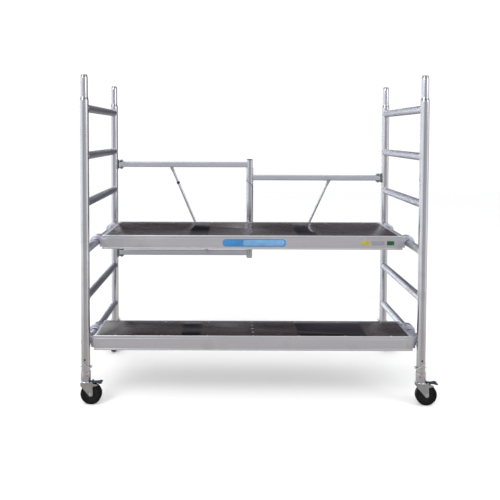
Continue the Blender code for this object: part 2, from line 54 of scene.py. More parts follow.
# body and material slots that many pieces share
FRAMES = "end_frames"
TUBE = "aluminium_tube"
EXTRUSION = "aluminium_extrusion"
CASTING = "cast_aluminium"
ZINC = "zinc_plated_steel"
RUBBER = "black_rubber"


def centre(node):
    """Middle of a CAD node's box."""
    low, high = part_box(node)
    return (low + high) / 2


def extent(node):
    """Size of a CAD node's box."""
    low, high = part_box(node)
    return high - low


# ---- sizes

TUBE_RADIUS = extent("upright_front_left").x / 2
TUBE_FOOT, TUBE_TOP = (corner.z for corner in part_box("upright_front_left"))
TUBE_WALL = 0.002
SWAGE_FOOT = 1.796          # where the upright starts to narrow to its spigot
SWAGE_TOP = 1.826
SWAGE_STEPS = 8
SPIGOT_RADIUS = 0.021
SPIGOT_TIP = 0.017
HALF_DEPTH = centre("upright_rear_left").y
RUNG_RADIUS = extent("rung_left_1").z / 2
RUNG_COUNT = 6
RUNG_RIBS = 20
RIB_STEPS = 6
RIB_DEPTH = 0.0008
STEM_RADIUS = 0.0228
COLLAR_RADIUS = extent("leg_stem_front_left").x / 2
COLLAR_FOOT, STEM_TOP = (corner.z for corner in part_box("leg_stem_front_left"))
PIN_HEIGHT = 0.225
SPARE_HOLE_HEIGHT = 0.272
HOLE_RADIUS = 0.0056
AROUND_HOLES = (PIN_HEIGHT - 0.01, PIN_HEIGHT + 0.01,
                SPARE_HOLE_HEIGHT - 0.01, SPARE_HOLE_HEIGHT + 0.01)

WHEEL_RADIUS = extent("castor_wheel_front_left").x / 2
WHEEL_HALF = extent("castor_wheel_front_left").y / 2
TRAIL = 0.032               # of the axle behind the swivel's axis
LEG_INSIDE = 0.0185         # of the fork's legs, from the wheel's middle
LEG_THICKNESS = 0.0025
LEG_OUTSIDE = LEG_INSIDE + LEG_THICKNESS
CROWN_FOOT = 0.1275
CROWN_TOP = 0.134
PEDAL_PIVOT = Vector((0.037, 0.0, 0.1325))
PEDAL_SLOPE = math.radians(2)

BEAM_HEIGHT = extent("upper_platform_front_beam").z
BEAM_WEB = 0.0035
BEAM_LEDGE = 0.0155         # depth of the ledge under the beam's top
LEDGE_FOOT = BEAM_HEIGHT - BEAM_LEDGE - 0.0028
DECK_THICKNESS = extent("upper_platform_deck").z
DECK_FOOT = BEAM_HEIGHT - BEAM_LEDGE + 0.0003
DECK_TOP = DECK_FOOT + DECK_THICKNESS
HALF_LENGTH = extent("upper_platform_front_beam").x / 2
END_BEAM_DEPTH = 0.025
CLAW_WIDTH = 0.055
CLAW_INSET = 0.045
CLAW_CENTRE = (-0.0045, 0.005)      # of a claw's outside, from the rung's axis
CLAW_RADIUS = 0.0425
CLAW_ARM_TOP = 0.0295
CLAW_INSIDE = RUNG_RADIUS + 0.0007
RUNG_IN_BEAM = 0.038        # height of the rung's axis in the platform
TRIM_WIDTH = 0.02           # aluminium strip over each end of a deck
BAND_BLUR = 0.008           # half the width of the soft edge of a deck's painted dark reflection band
WIRE_PITCH = 0.0042         # of the pattern pressed into the deck's film

MIDDLE_X = (centre("upright_front_left").x + centre("upright_front_right").x) / 2
HALF_SPAN = centre("upright_front_right").x - MIDDLE_X
PIVOT_OFFSET = 0.052        # of a leaf's hinge axis from its upright's
PIVOT_X = HALF_SPAN - PIVOT_OFFSET
RAIL_HEIGHT = extent("rear_left_upper_rail").z
RAIL_DEPTH = extent("rear_left_upper_rail").y
RAIL_WALL = 0.002
RAIL_END = 0.013            # length of a rail past its hinge axis
POST_RADIUS = extent("centre_post").x / 2
SLEEVE_RADIUS = extent("centre_sleeve").x / 2
SLEEVE_BORE = 0.0217
GROOVE_HEIGHT = 1.2468      # of the sleeve's slanted groove, on the sleeve's axis
GROOVE_SLOPE = math.tan(math.radians(37.5))
STRUT_RADIUS = 0.0085
STRUT_FLAT = 0.0118         # half the width of a strut's flattened end
STRUT_THIN = 0.0019         # and half its thickness
FLANGE_INSIDE = 0.0212
FLANGE_THICKNESS = 0.005
BRACKET_HALF = 0.033

FIELD_STRENGTH = 3.6        # brightness of a field of the world with a colour of 1


# ---- mesh tools

def arc(middle, radius, first, last, steps):
    """Points along an arc in a plane, with angles in degrees."""
    angles = [math.radians(first + (last - first) * step / steps) for step in range(steps + 1)]
    return [(middle[0] + radius * math.cos(a), middle[1] + radius * math.sin(a)) for a in angles]


def circle(radius, sides):
    """Points around the origin."""
    return arc((0, 0), radius, 0, 360 * (1 - 1 / sides), sides - 1)


def turns(count):
    """Angles that are spread evenly over a full turn."""
    return [2 * math.pi * step / count for step in range(count)]


def ease(t):
    """Smooth change from 0 to 1."""
    return t * t * (3 - 2 * t)


def wall(radius, heights):
    """Profile points at one radius."""
    return [(radius, height) for height in heights]


def rounded(points, radius=0, steps=4):
    """Outline with every corner rounded; a point may carry its own radius as a third value."""
    result = []
    for i, point in enumerate(points):
        corner = Vector(point[:2])
        before = Vector(points[i - 1][:2]) - corner
        after = Vector(points[(i + 1) % len(points)][:2]) - corner
        reach = point[2] if len(point) > 2 else radius
        reach = min(reach, before.length * 0.48, after.length * 0.48)
        if reach <= 0:
            result.append(tuple(corner))
            continue
        first = corner + before.normalized() * reach
        last = corner + after.normalized() * reach
        for t in (step / steps for step in range(steps + 1)):
            result.append(tuple((1 - t) ** 2 * first + 2 * t * (1 - t) * corner + t * t * last))
    return result


def rectangle(width, height, radius, steps=4):
    """Rounded rectangle around the origin."""
    x, y = width / 2, height / 2
    return rounded([(-x, -y), (x, -y), (x, y), (-x, y)], radius, steps)


def inset(points, amount):
    """Outline moved inwards by a small amount."""
    spots = [Vector(point) for point in points]
    following = spots[1:] + spots[:1]
    turn = 1 if sum(a.cross(b) for a, b in zip(spots, following)) > 0 else -1
    result = []
    for before, spot, after in zip(spots[-1:] + spots, spots, following):
        into = (spot - before).normalized()
        out = (after - spot).normalized()
        normal_in = Vector((-into.y, into.x)) * turn
        normal_out = Vector((-out.y, out.x)) * turn
        share = max(0.35, 1 + normal_in.dot(normal_out))
        result.append(tuple(spot + (normal_in + normal_out) * (amount / share)))
    return result


def smooth(route, steps):
    """Points on a smooth curve through the points of a route."""
    route = [Vector(point) for point in route]
    ends = [2 * route[0] - route[1]] + route + [2 * route[-1] - route[-2]]
    points = []
    for a, b, c, d in zip(ends, ends[1:], ends[2:], ends[3:]):
        for t in (step / steps for step in range(steps)):
            points.append(0.5 * (2 * b + (c - a) * t + (2 * a - 5 * b + 4 * c - d) * t ** 2
                                 + (3 * b - a - 3 * c + d) * t ** 3))
    return points + [route[-1]]


def at(x, y, z):
    """Move to a spot."""
    return Matrix.Translation((x, y, z))


def turn_z(degrees):
    return Matrix.Rotation(math.radians(degrees), 4, "Z")


def facing(spot, direction):
    """Frame with its origin at a spot and +Z in a direction."""
    return at(*spot) @ Vector(direction).to_track_quat("Z", "Y").to_matrix().to_4x4()


ALONG_Y = facing((0, 0, 0), (0, 1, 0))
XZ_PLANE = Matrix.Rotation(math.pi / 2, 4, "X")             # outline (x, z), depth towards -Y
YZ_PLANE = Matrix.Rotation(math.pi / 2, 4, "Z") @ XZ_PLANE  # outline (y, z), depth towards +X
HALF_TURN = turn_z(180)


def shaded(mesh, sharp=32):
    """Mesh with smooth shading up to an angle between faces."""
    mesh.shade_smooth()
    mesh.set_sharp_from_angle(angle=math.radians(sharp))
    return mesh


class Shape:
    """A mesh in the making, to which closed parts are added one by one."""

    def __init__(self):
        self.bm = bmesh.new()

    def skin(self, rings, loop=False):
        """Quads over rings of points; the outer rings are closed by a face unless they meet."""
        rows = [[self.bm.verts.new(point) for point in ring] for ring in rings]
        pairs = list(zip(rows, rows[1:]))
        if loop:
            pairs.append((rows[-1], rows[0]))
        else:
            self.bm.faces.new(reversed(rows[0]))
            self.bm.faces.new(rows[-1])
        for first, second in pairs:
            for i in range(len(first)):
                j = (i + 1) % len(first)
                self.bm.faces.new((first[i], first[j], second[j], second[i]))
        return self

    def stack(self, layers, place=Matrix(), loop=False):
        """Skin over outlines, each at its own height along Z."""
        return self.skin([[place @ Vector((x, y, height)) for x, y in outline]
                          for outline, height in layers], loop)

    def turned(self, profile, place=Matrix(), sides=32, bored=False):
        """Profile of (radius, height) points turned around Z; a bored one is a closed loop."""
        return self.stack([(circle(radius, sides), height) for radius, height in profile],
                          place, bored)

    def plate(self, outline, thickness, place=Matrix(), edge=0.0005):
        """Flat outline with a thickness around its own plane and rounded edges."""
        half = thickness / 2
        levels = [(edge, -half), (edge * 0.3, -half + edge * 0.3), (0, -half + edge),
                  (0, half - edge), (edge * 0.3, half - edge * 0.3), (edge, half)]
        return self.stack([(inset(outline, shrink) if shrink else outline, height)
                           for shrink, height in levels], place)

    def pipe(self, width, height, thickness, reach, place):
        """Hollow rectangular bar from -reach to reach along Z."""
        outer = rectangle(width, height, 0.0025)
        inner = rectangle(width - 2 * thickness, height - 2 * thickness, 0.0015)
        return self.stack([(outer, -reach), (outer, 0), (outer, reach),
                           (inner, reach), (inner, 0), (inner, -reach)], place, loop=True)

    def sweep(self, path, radii, sides=8, loop=False, place=Matrix()):
        """Round wire or bead along a path, with one radius for each point."""
        count = len(path)
        rings = []
        side = None
        for i, (point, radius) in enumerate(zip(path, radii)):
            if loop:
                run = (path[(i + 1) % count] - path[i - 1]).normalized()
            else:
                run = (path[min(i + 1, count - 1)] - path[max(i - 1, 0)]).normalized()
            if side is None:
                side = run.orthogonal()
            side = (side - run * side.dot(run)).normalized()
            other = run.cross(side)
            rings.append([place @ (point + radius * (side * math.cos(a) + other * math.sin(a)))
                          for a in turns(sides)])
        if loop:
            last = min(range(sides), key=lambda k: (rings[-1][k] - rings[0][0]).length)
            twist = last if last <= sides / 2 else last - sides
            for i in range(count):
                shift = round(twist * i / (count - 1))
                rings[i] = rings[i][shift:] + rings[i][:shift]
        return self.skin(rings, loop)

    def bolt(self, radius, height, place, washer=0.0):
        """Bolt head or nut with a washer, standing on the origin of a place."""
        if washer:
            self.turned([(washer - 0.0004, 0), (washer, 0.0003), (washer, 0.0012),
                         (washer - 0.0004, 0.0016)], place, 28)
            place = place @ at(0, 0, 0.0016)
        self.plate(arc((0, 0), radius, 0, 300, 5), height, place @ at(0, 0, height / 2), 0.0007)
        return self.turned([(radius * 0.55, height - 0.0004), (radius * 0.52, height + 0.0012),
                            (radius * 0.42, height + 0.0018)], place, 20)

    def dome(self, radius, height, place):
        """Rivet head standing on the origin of a place."""
        profile = [(radius, 0.0), (radius * 0.98, height * 0.35), (radius * 0.82, height * 0.72),
                   (radius * 0.52, height * 0.94), (radius * 0.2, height)]
        return self.turned(profile, place, 16)

    def mesh(self, material, sharp=32):
        """The finished mesh."""
        bmesh.ops.recalc_face_normals(self.bm, faces=self.bm.faces)
        mesh = bpy.data.meshes.new(material.name)
        self.bm.to_mesh(mesh)
        self.bm.free()
        mesh.materials.append(material)
        return shaded(mesh, sharp)


def linked(name, data, place=Matrix()):
    """Object in the scene."""
    obj = bpy.data.objects.new(name, data)
    bpy.context.scene.collection.objects.link(obj)
    obj.matrix_world = place
    return obj


def piece(name, mesh, body, slot, place=Matrix(), *nodes):
    """Put a mesh in the scene as a named piece that moves with a CAD body."""
    obj = linked(name, mesh, place)
    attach(obj, body)
    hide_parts(*nodes)


# ---- materials

class Nodes:
    """Node tree of a material or world, with helpers for the kinds of nodes in it."""

    def __init__(self, owner):
        owner.use_nodes = True
        self.nodes = owner.node_tree.nodes
        self.links = owner.node_tree.links

    def feed(self, socket, value):
        """Link an output to a socket, or set the socket's number, vector or colour."""
        if isinstance(value, bpy.types.NodeSocket):
            self.links.new(value, socket)
        else:
            socket.default_value = (*value, 1.0) if socket.type == "RGBA" else value

    def add(self, kind, inputs, **settings):
        """Node with settings, and with a link or a constant for each input."""
        node = self.nodes.new("ShaderNode" + kind)
        for name, value in settings.items():
            setattr(node, name, value)
        for key, value in inputs.items():
            self.feed(node.inputs[key], value)
        return node

    def vector(self, operation, *values, output="Vector"):
        """Vector maths of links and constants."""
        return self.add("VectorMath", dict(enumerate(values)), operation=operation).outputs[output]

    def math(self, operation, *values, clamp=False):
        """Maths of links and constants."""
        inputs = dict(enumerate(values))
        return self.add("Math", inputs, operation=operation, use_clamp=clamp).outputs["Value"]

    def axes(self, vector):
        """Coordinates of a vector, by letter."""
        return self.add("SeparateXYZ", {"Vector": vector}).outputs

    def between(self, value, low, high, first=0.0, last=1.0, curve="LINEAR"):
        """Clamped map of a value."""
        inputs = {"Value": value, "From Min": low, "From Max": high,
                  "To Min": first, "To Max": last}
        return self.add("MapRange", inputs, clamp=True, interpolation_type=curve).outputs["Result"]

    def mix(self, share, first, second):
        """Mix of two colours."""
        return self.add("Mix", {0: share, 6: first, 7: second}, data_type="RGBA").outputs[2]

    def blend(self, value, low, high, first, second, most=1.0):
        """Colour that changes while a value rises, with at most this share of the second."""
        return self.mix(self.between(value, low, high, 0.0, most), first, second)


class Finish(Nodes):
    """Material with procedural colour, roughness and bump."""

    def __init__(self, name, metallic, gloss=0.5):
        self.material = bpy.data.materials.new(name)
        super().__init__(self.material)
        self.shader = self.nodes["Principled BSDF"].inputs
        self.shader["Metallic"].default_value = metallic
        self.shader["Specular IOR Level"].default_value = gloss
        self.coordinates = self.add("TexCoord", {}).outputs
        spot = self.add("ObjectInfo", {}).outputs["Location"]
        self.place = self.vector("MULTIPLY_ADD", spot, (3.7,) * 3, self.coordinates["Object"])

    def texture(self, kind, output, stretch, inputs, **settings):
        """Texture with its own scale along each axis."""
        where = self.vector("MULTIPLY", self.place, stretch)
        return self.add("Tex" + kind, {"Vector": where, **inputs}, **settings).outputs[output]

    def noise(self, scale, detail=4.0, roughness=0.55, stretch=(1, 1, 1)):
        """Fractal noise."""
        inputs = {"Scale": scale, "Detail": detail, "Roughness": roughness}
        return self.texture("Noise", "Fac", stretch, inputs)

    def cells(self, scale, feature="F1"):
        """Voronoi cells."""
        return self.texture("Voronoi", "Distance", (1, 1, 1), {"Scale": scale}, feature=feature)

    def around(self, value, middle, below, above, low=0.3, high=0.7):
        """Roughness that a noise moves around its middle."""
        return self.between(value, low, high, middle - below, middle + above)

    def outside(self):
        """1 on the outer wall of a tube around Z, 0 on the wall of its bore."""
        flat = self.vector("MULTIPLY", self.coordinates["Normal"], (1, 1, 0))
        out = self.vector("DOT_PRODUCT", flat, self.coordinates["Object"], output="Value")
        return self.between(out, -0.006, -0.001)

    def swaged(self):
        """Share of painted dark reflection where the wall of a tube around Z faces upwards, as it
        leans inwards or ends.
        """
        return self.between(self.axes(self.coordinates["Normal"])["Z"], 0.08, 0.2, 0.0, 0.75)

    def finish(self, colour, roughness, height=None, strength=0.0, distance=0.0):
        """Connect colour, roughness and bump to the shader."""
        self.feed(self.shader["Base Color"], colour)
        self.feed(self.shader["Roughness"], roughness)
        if height is not None:
            bump = self.add("Bump", {"Strength": strength, "Distance": distance, "Height": height})
            self.feed(self.shader["Normal"], bump.outputs["Normal"])
        return self.material


def scaled(colour, factor):
    return tuple(min(1.0, channel * factor) for channel in colour)


def aluminium(name, colour, roughness, axis, grime, tube=False):
    """Drawn aluminium: die lines along one axis, handling marks, scratches and dull patches.

    A tube around Z has painted shade that darkens its bore, which is also dull with oxide, and
    painted dark reflection where its wall faces upwards as it narrows or ends.
    """
    def drawn(across, lengthwise):
        return tuple(lengthwise if letter == axis else across for letter in "XYZ")

    look = Finish(name, 1.0)
    streaks = look.noise(1.0, 5.0, 0.6, drawn(230.0, 1.6))
    patches = look.noise(5.5, 5.0, 0.62)
    fine = look.noise(46.0, 3.0, 0.6)
    scratches = look.noise(1.0, 2.0, 0.5, drawn(520.0, 14.0))
    warm = (colour[0] * 0.74, colour[1] * 0.7, colour[2] * 0.64)
    base = look.blend(streaks, 0.3, 0.7, scaled(colour, 0.93), scaled(colour, 1.06))
    base = look.blend(patches, 0.52, 0.74, base, warm, grime)
    base = look.blend(scratches, 0.68, 0.72, base, scaled(colour, 1.35), 0.3)
    rough = look.around(streaks, roughness, 0.04, 0.05, 0.25, 0.75)
    rough = look.math("ADD", rough, look.between(patches, 0.45, 0.75, -0.02, 0.13), clamp=True)
    height = look.math("ADD", look.math("MULTIPLY", streaks, 0.7),
                       look.math("MULTIPLY", fine, 0.3))
    if tube:
        outer = look.outside()
        # painted dark reflection on walls that face upwards at the swage and the ends
        base = look.mix(look.swaged(), base, scaled(colour, 0.28))
        # painted shade: the bore of the tube darkened nearly black, as if shadowed inside
        base = look.mix(outer, scaled(colour, 0.12), base)
        rough = look.math("MAXIMUM", rough, look.math("SUBTRACT", 0.7, outer))
    return look.finish(base, rough, height, 0.04 if tube else 0.07, 0.0001)


def cast_metal(name, colour, roughness):
    """Sand-cast aluminium: fine pebbled skin with dull hollows."""
    look = Finish(name, 1.0)
    pebbles = look.noise(420.0, 3.0, 0.6)
    patches = look.noise(14.0, 4.0, 0.6)
    base = look.blend(patches, 0.35, 0.68, scaled(colour, 0.82), scaled(colour, 1.1))
    base = look.blend(pebbles, 0.55, 0.75, base, scaled(colour, 0.6), 0.4)
    return look.finish(base, look.around(patches, roughness, 0.06, 0.1), pebbles, 0.35, 0.0004)


def zinc(name, colour, tint, roughness):
    """Zinc-plated steel: mottled passivation between two tints, with small stains."""
    look = Finish(name, 1.0)
    clouds = look.noise(26.0, 4.0, 0.6)
    base = look.blend(clouds, 0.36, 0.66, colour, tint)
    base = look.blend(look.noise(70.0, 5.0, 0.7), 0.6, 0.78, base, scaled(colour, 0.5), 0.6)
    height = look.math("ADD", look.math("MULTIPLY", look.cells(330.0), 0.25), clouds)
    return look.finish(base, look.around(clouds, roughness, 0.06, 0.12), height, 0.12, 0.0003)


def rubber(name, colour, roughness):
    """Black rubber with fine mould grain, scuffs and a little floor dust."""
    look = Finish(name, 0.0, 0.1)
    scuffs = look.noise(38.0, 5.0, 0.65, (1, 1, 3))
    base = look.blend(scuffs, 0.58, 0.76, colour, (0.01, 0.0095, 0.0095), 0.5)
    rough = look.around(look.noise(22.0), roughness, 0.1, 0.1)
    return look.finish(base, rough, look.noise(620.0, 3.0, 0.6), 0.25, 0.0004)


def moulded_plastic(name, colour, roughness):
    """Moulded plastic with a leathery skin and slightly uneven gloss."""
    look = Finish(name, 0.0, 0.16)
    clouds = look.noise(30.0)
    base = look.blend(clouds, 0.35, 0.7, colour, scaled(colour, 1.7))
    rough = look.around(clouds, roughness, 0.07, 0.08)
    return look.finish(base, rough, look.cells(900.0, "SMOOTH_F1"), 0.12, 0.0003)


def dark_steel(name, colour, worn, roughness):
    """Dark passivated steel with worn lighter patches."""
    look = Finish(name, 0.75)
    clouds = look.noise(34.0, 4.0, 0.6)
    base = look.blend(clouds, 0.35, 0.65, colour, scaled(colour, 1.8))
    base = look.blend(look.noise(110.0, 5.0, 0.7), 0.58, 0.72, base, worn, 0.75)
    return look.finish(base, look.around(clouds, roughness, 0.05, 0.12), clouds, 0.15, 0.0004)


def phenolic_film(name, painted_reflection_bands):
    """Dark brown film-faced plywood: pressed wire-mesh pattern, scuffs and dull tracks.

    The bands are stretches along X of painted dark reflection: nearly black and glossier than the
    rest.
    """
    look = Finish(name, 0.0)
    place = look.axes(look.place)
    wires = [look.math("ABSOLUTE", look.math("SINE", look.math(
        "MULTIPLY", place[letter], 2 * math.pi / WIRE_PITCH))) for letter in "XY"]
    clouds = look.noise(3.2, 5.0, 0.6, (1.0, 3.0, 1.0))
    tracks = look.noise(1.0, 4.0, 0.6, (7.0, 120.0, 1.0))
    scratch = look.noise(1.0, 2.0, 0.4, (26.0, 150.0, 1.0))
    base = look.blend(clouds, 0.35, 0.68, (0.021, 0.014, 0.016), (0.038, 0.028, 0.029))
    base = look.blend(tracks, 0.5, 0.75, base, (0.045, 0.036, 0.035), 0.3)
    base = look.blend(scratch, 0.67, 0.71, base, (0.11, 0.1, 0.095), 0.4)
    base = look.blend(look.noise(55.0, 5.0, 0.7), 0.5, 0.8, base, (0.05, 0.046, 0.045), 0.25)
    rough = look.between(clouds, 0.3, 0.7, 0.19, 0.3)
    rough = look.math("ADD", rough, look.between(tracks, 0.45, 0.7, 0.0, 0.08))
    x = look.axes(look.coordinates["Object"])["X"]
    # painted dark reflection: nearly black, glossier bands across the deck
    for low, high in painted_reflection_bands:
        start = look.between(x, low - BAND_BLUR, low + BAND_BLUR)
        stop = look.between(x, high - BAND_BLUR, high + BAND_BLUR, 1.0, 0.0)
        painted_reflection = look.math("MULTIPLY", start, stop)
        base = look.mix(look.math("MULTIPLY", painted_reflection, 0.9), base, (0.0015, 0.0015, 0.003))
        rough = look.math("ADD", rough, look.math("MULTIPLY", painted_reflection, -0.13), clamp=True)
    pattern = look.math("MULTIPLY", *wires)
    height = look.math("ADD", look.math("MULTIPLY", pattern, 0.5), tracks)
    return look.finish(base, rough, height, 0.12, 0.0002)


def weld_metal(name, colour):
    """Bright weld bead with a sooty edge."""
    look = Finish(name, 1.0)
    base = look.blend(look.noise(60.0, 4.0, 0.7), 0.45, 0.72, colour, scaled(colour, 0.45), 0.7)
    rough = look.between(look.noise(140.0), 0.3, 0.7, 0.3, 0.5)
    return look.finish(base, rough, look.noise(260.0), 0.2, 0.0004)


def vinyl(name, colour):
    """Plain sticker: even colour with slight fading and fine scuffs."""
    look = Finish(name, 0.0, 0.25)
    fading = look.noise(18.0, 4.0, 0.6)
    scuffs = look.noise(1.0, 3.0, 0.6, (60.0, 60.0, 420.0))
    base = look.blend(fading, 0.35, 0.7, scaled(colour, 0.9), scaled(colour, 1.12))
    base = look.blend(scuffs, 0.62, 0.7, base, (0.75, 0.77, 0.8), 0.25)
    return look.finish(base, look.around(fading, 0.35, 0.06, 0.1), fading, 0.05, 0.0002)


EXTRUSION_COLOUR = (0.58, 0.58, 0.61)
UPRIGHT_METAL = aluminium("upright_aluminium", (0.5, 0.5, 0.525), 0.17, "Z", 0.45, True)
RUNG_METAL = aluminium("rung_aluminium", (0.47, 0.48, 0.53), 0.33, "Y", 0.6)
POST_METAL = aluminium("post_aluminium", (0.49, 0.49, 0.52), 0.17, "Z", 0.4, True)
STRUT_METAL = aluminium("strut_aluminium", (0.46, 0.47, 0.51), 0.26, "Z", 0.4)
BEAM_METAL = aluminium("beam_aluminium", EXTRUSION_COLOUR, 0.42, "X", 0.45)
RAIL_METAL = aluminium("rail_aluminium", (0.6, 0.61, 0.67), 0.34, "X", 0.35)
CROSS_METAL = aluminium("cross_aluminium", EXTRUSION_COLOUR, 0.42, "Y", 0.45)
CORNER_METAL = aluminium("corner_aluminium", (0.56, 0.56, 0.6), 0.4, "X", 0.3)
CAST = cast_metal("cast_aluminium_skin", (0.62, 0.62, 0.7), 0.4)
# dark bracket colour: painted shade for the gaps around the rail plugs
BRACKET_PAINTED_SHADE_CAST = cast_metal("bracket_casting_painted_shade", (0.2, 0.2, 0.22), 0.46)
COLLAR_ZINC = zinc("collar_zinc", (0.44, 0.43, 0.46), (0.5, 0.48, 0.5), 0.4)
FORK_ZINC = zinc("fork_zinc", (0.33, 0.34, 0.33), (0.4, 0.4, 0.43), 0.34)
RACE_ZINC = zinc("race_zinc", (0.62, 0.7, 0.8), (0.48, 0.52, 0.58), 0.22)
BOLT_ZINC = zinc("bolt_zinc", (0.55, 0.56, 0.58), (0.42, 0.43, 0.46), 0.3)
PEDAL_STEEL = dark_steel("pedal_steel", (0.018, 0.026, 0.036), (0.16, 0.19, 0.17), 0.34)
TYRE_RUBBER = rubber("tyre_rubber", (0.004, 0.004, 0.0045), 0.5)
RIM_PLASTIC = moulded_plastic("rim_plastic", (0.006, 0.006, 0.007), 0.4)
PLUG_PLASTIC = moulded_plastic("plug_plastic", (0.52, 0.52, 0.53), 0.5)
# each deck's stretches along X are bands of painted dark reflection
DECK_FILM = {
    "upper_platform": phenolic_film("upper_deck_film", ((-0.404, -0.281), (0.293, 0.415))),
    "lower_platform": phenolic_film("lower_deck_film", ((-0.43, -0.318), (0.274, 0.68))),
}
WELD = weld_metal("weld_bead_metal", (0.6, 0.6, 0.64))
WIRE = zinc("wire_steel", (0.62, 0.62, 0.64), (0.48, 0.48, 0.5), 0.28)
RIVET_METAL = zinc("rivet_aluminium", (0.6, 0.61, 0.65), (0.7, 0.71, 0.75), 0.3)


# ---- end frames

def drilled(mesh, radius):
    """Tube with the snap pin's cross hole and the spare hole in its front wall."""
    reach = 2 * radius
    drills = Shape()
    for heights, height, direction in (((-reach, reach), PIN_HEIGHT, (1, 0, 0)),
                                       ((-reach, 0), SPARE_HOLE_HEIGHT, (0, 1, 0))):
        drills.turned(wall(HOLE_RADIUS, heights), facing((0, 0, height), direction), 20)
    body = linked("body", mesh)
    tool = linked("tool", drills.mesh(UPRIGHT_METAL))
    cut = body.modifiers.new("holes", "BOOLEAN")
    cut.operation = "DIFFERENCE"
    cut.solver = "EXACT"
    cut.object = tool
    bpy.context.view_layer.update()
    result = bpy.data.meshes.new_from_object(
        body.evaluated_get(bpy.context.evaluated_depsgraph_get()))
    bpy.data.objects.remove(body)
    bpy.data.objects.remove(tool)
    return shaded(result)


def upright_mesh():
    """Tube with its swaged spigot, pin hole and spare hole, its axis on Z."""
    bore, spigot_bore = TUBE_RADIUS - TUBE_WALL, SPIGOT_RADIUS - TUBE_WALL
    swage = [(TUBE_RADIUS + (SPIGOT_RADIUS - TUBE_RADIUS) * ease(t),
              SWAGE_FOOT + (SWAGE_TOP - SWAGE_FOOT) * t)
             for t in (step / SWAGE_STEPS for step in range(SWAGE_STEPS + 1))]
    profile = [
        (TUBE_RADIUS - 0.0008, TUBE_FOOT), (TUBE_RADIUS, TUBE_FOOT + 0.0008),
        *wall(TUBE_RADIUS, AROUND_HOLES), *swage,
        (SPIGOT_RADIUS, TUBE_TOP - 0.026), (SPIGOT_RADIUS - 0.0006, TUBE_TOP - 0.018),
        (SPIGOT_TIP + 0.0012, TUBE_TOP - 0.004), (SPIGOT_TIP, TUBE_TOP - 0.001),
        (SPIGOT_TIP - 0.0008, TUBE_TOP), (SPIGOT_TIP - TUBE_WALL, TUBE_TOP - 0.0006),
        (spigot_bore, TUBE_TOP - 0.024), (spigot_bore, SWAGE_TOP), (bore, SWAGE_FOOT),
        *wall(bore, AROUND_HOLES[::-1]), (bore, TUBE_FOOT)]
    tube = Shape().turned(profile, sides=64, bored=True)
    return drilled(tube.mesh(UPRIGHT_METAL), TUBE_RADIUS)


def saddle(x):
    """Distance from a rung's middle to the surface of the upright, at an offset x."""
    return HALF_DEPTH - math.sqrt(TUBE_RADIUS ** 2 - x ** 2) + 0.0002


def rung_mesh():
    """Ribbed rung along Y, its ends coped to the uprights, with the rung's middle at 0."""
    section = []
    for angle in turns(RUNG_RIBS * RIB_STEPS):
        hollow = 1 - abs(math.sin(RUNG_RIBS * angle / 2))
        radius = RUNG_RADIUS - RIB_DEPTH * hollow ** 1.5
        section.append((radius * math.cos(angle), radius * math.sin(angle)))
    inner = circle(RUNG_RADIUS - TUBE_WALL, len(section))
    rings = [[Vector((x, side * saddle(x), z)) for x, z in outline]
             for outline, side in ((section, -1), (section, 1), (inner, 1), (inner, -1))]
    return Shape().skin(rings, loop=True).mesh(RUNG_METAL, 28)


def rung_weld_mesh():
    """Rippled beads where a rung meets its two uprights."""
    weld = Shape()
    radius = RUNG_RADIUS + 0.0004
    angles = turns(132)
    radii = [0.0027 + 0.00045 * math.sin(33 * angle) for angle in angles]
    for side in SIDES:
        path = [Vector((x, side * (saddle(x) - 0.0008), z))
                for x, z in ((radius * math.cos(a), radius * math.sin(a)) for a in angles)]
        weld.sweep(path, radii, loop=True)
    return weld.mesh(WELD, 60)


def stem_mesh():
    """Leg stem inside the upright, with the collar that the upright stands on."""
    bore = STEM_RADIUS - 0.0023
    top, foot, wide = TUBE_FOOT - 0.0003, COLLAR_FOOT, COLLAR_RADIUS
    profile = [
        (bore, STEM_TOP), (STEM_RADIUS, STEM_TOP), *wall(STEM_RADIUS, AROUND_HOLES[::-1]),
        (STEM_RADIUS, top), (wide - 0.0014, top), (wide - 0.0004, top - 0.0004),
        (wide, top - 0.0014), (wide, top - 0.01), (wide - 0.0006, top - 0.0106),
        (wide - 0.0006, top - 0.0122), (wide, top - 0.0128), (wide, foot + 0.003),
        (wide - 0.0009, foot + 0.0009), (wide - 0.003, foot), (0.0068, foot),
        (0.0068, foot + 0.008), (bore, foot + 0.008), *wall(bore, AROUND_HOLES)]
    stem = Shape().turned(profile, sides=56, bored=True)
    return drilled(stem.mesh(COLLAR_ZINC), STEM_RADIUS)


def collar_screw_mesh(degrees):
    """Socket screw in the collar, turned by an angle from -Y around the stem's axis."""
    spot = (0, -COLLAR_RADIUS + 0.0006, TUBE_FOOT - 0.02)
    profile = [(0.004, 0), (0.004, 0.0008), (0.0034, 0.0013), (0.0021, 0.0013),
               (0.0021, 0.0002), (0.0004, 0.0001)]
    screw = Shape().turned(profile, turn_z(degrees) @ facing(spot, (0, -1, 0)), 18)
    return screw.mesh(PEDAL_STEEL)


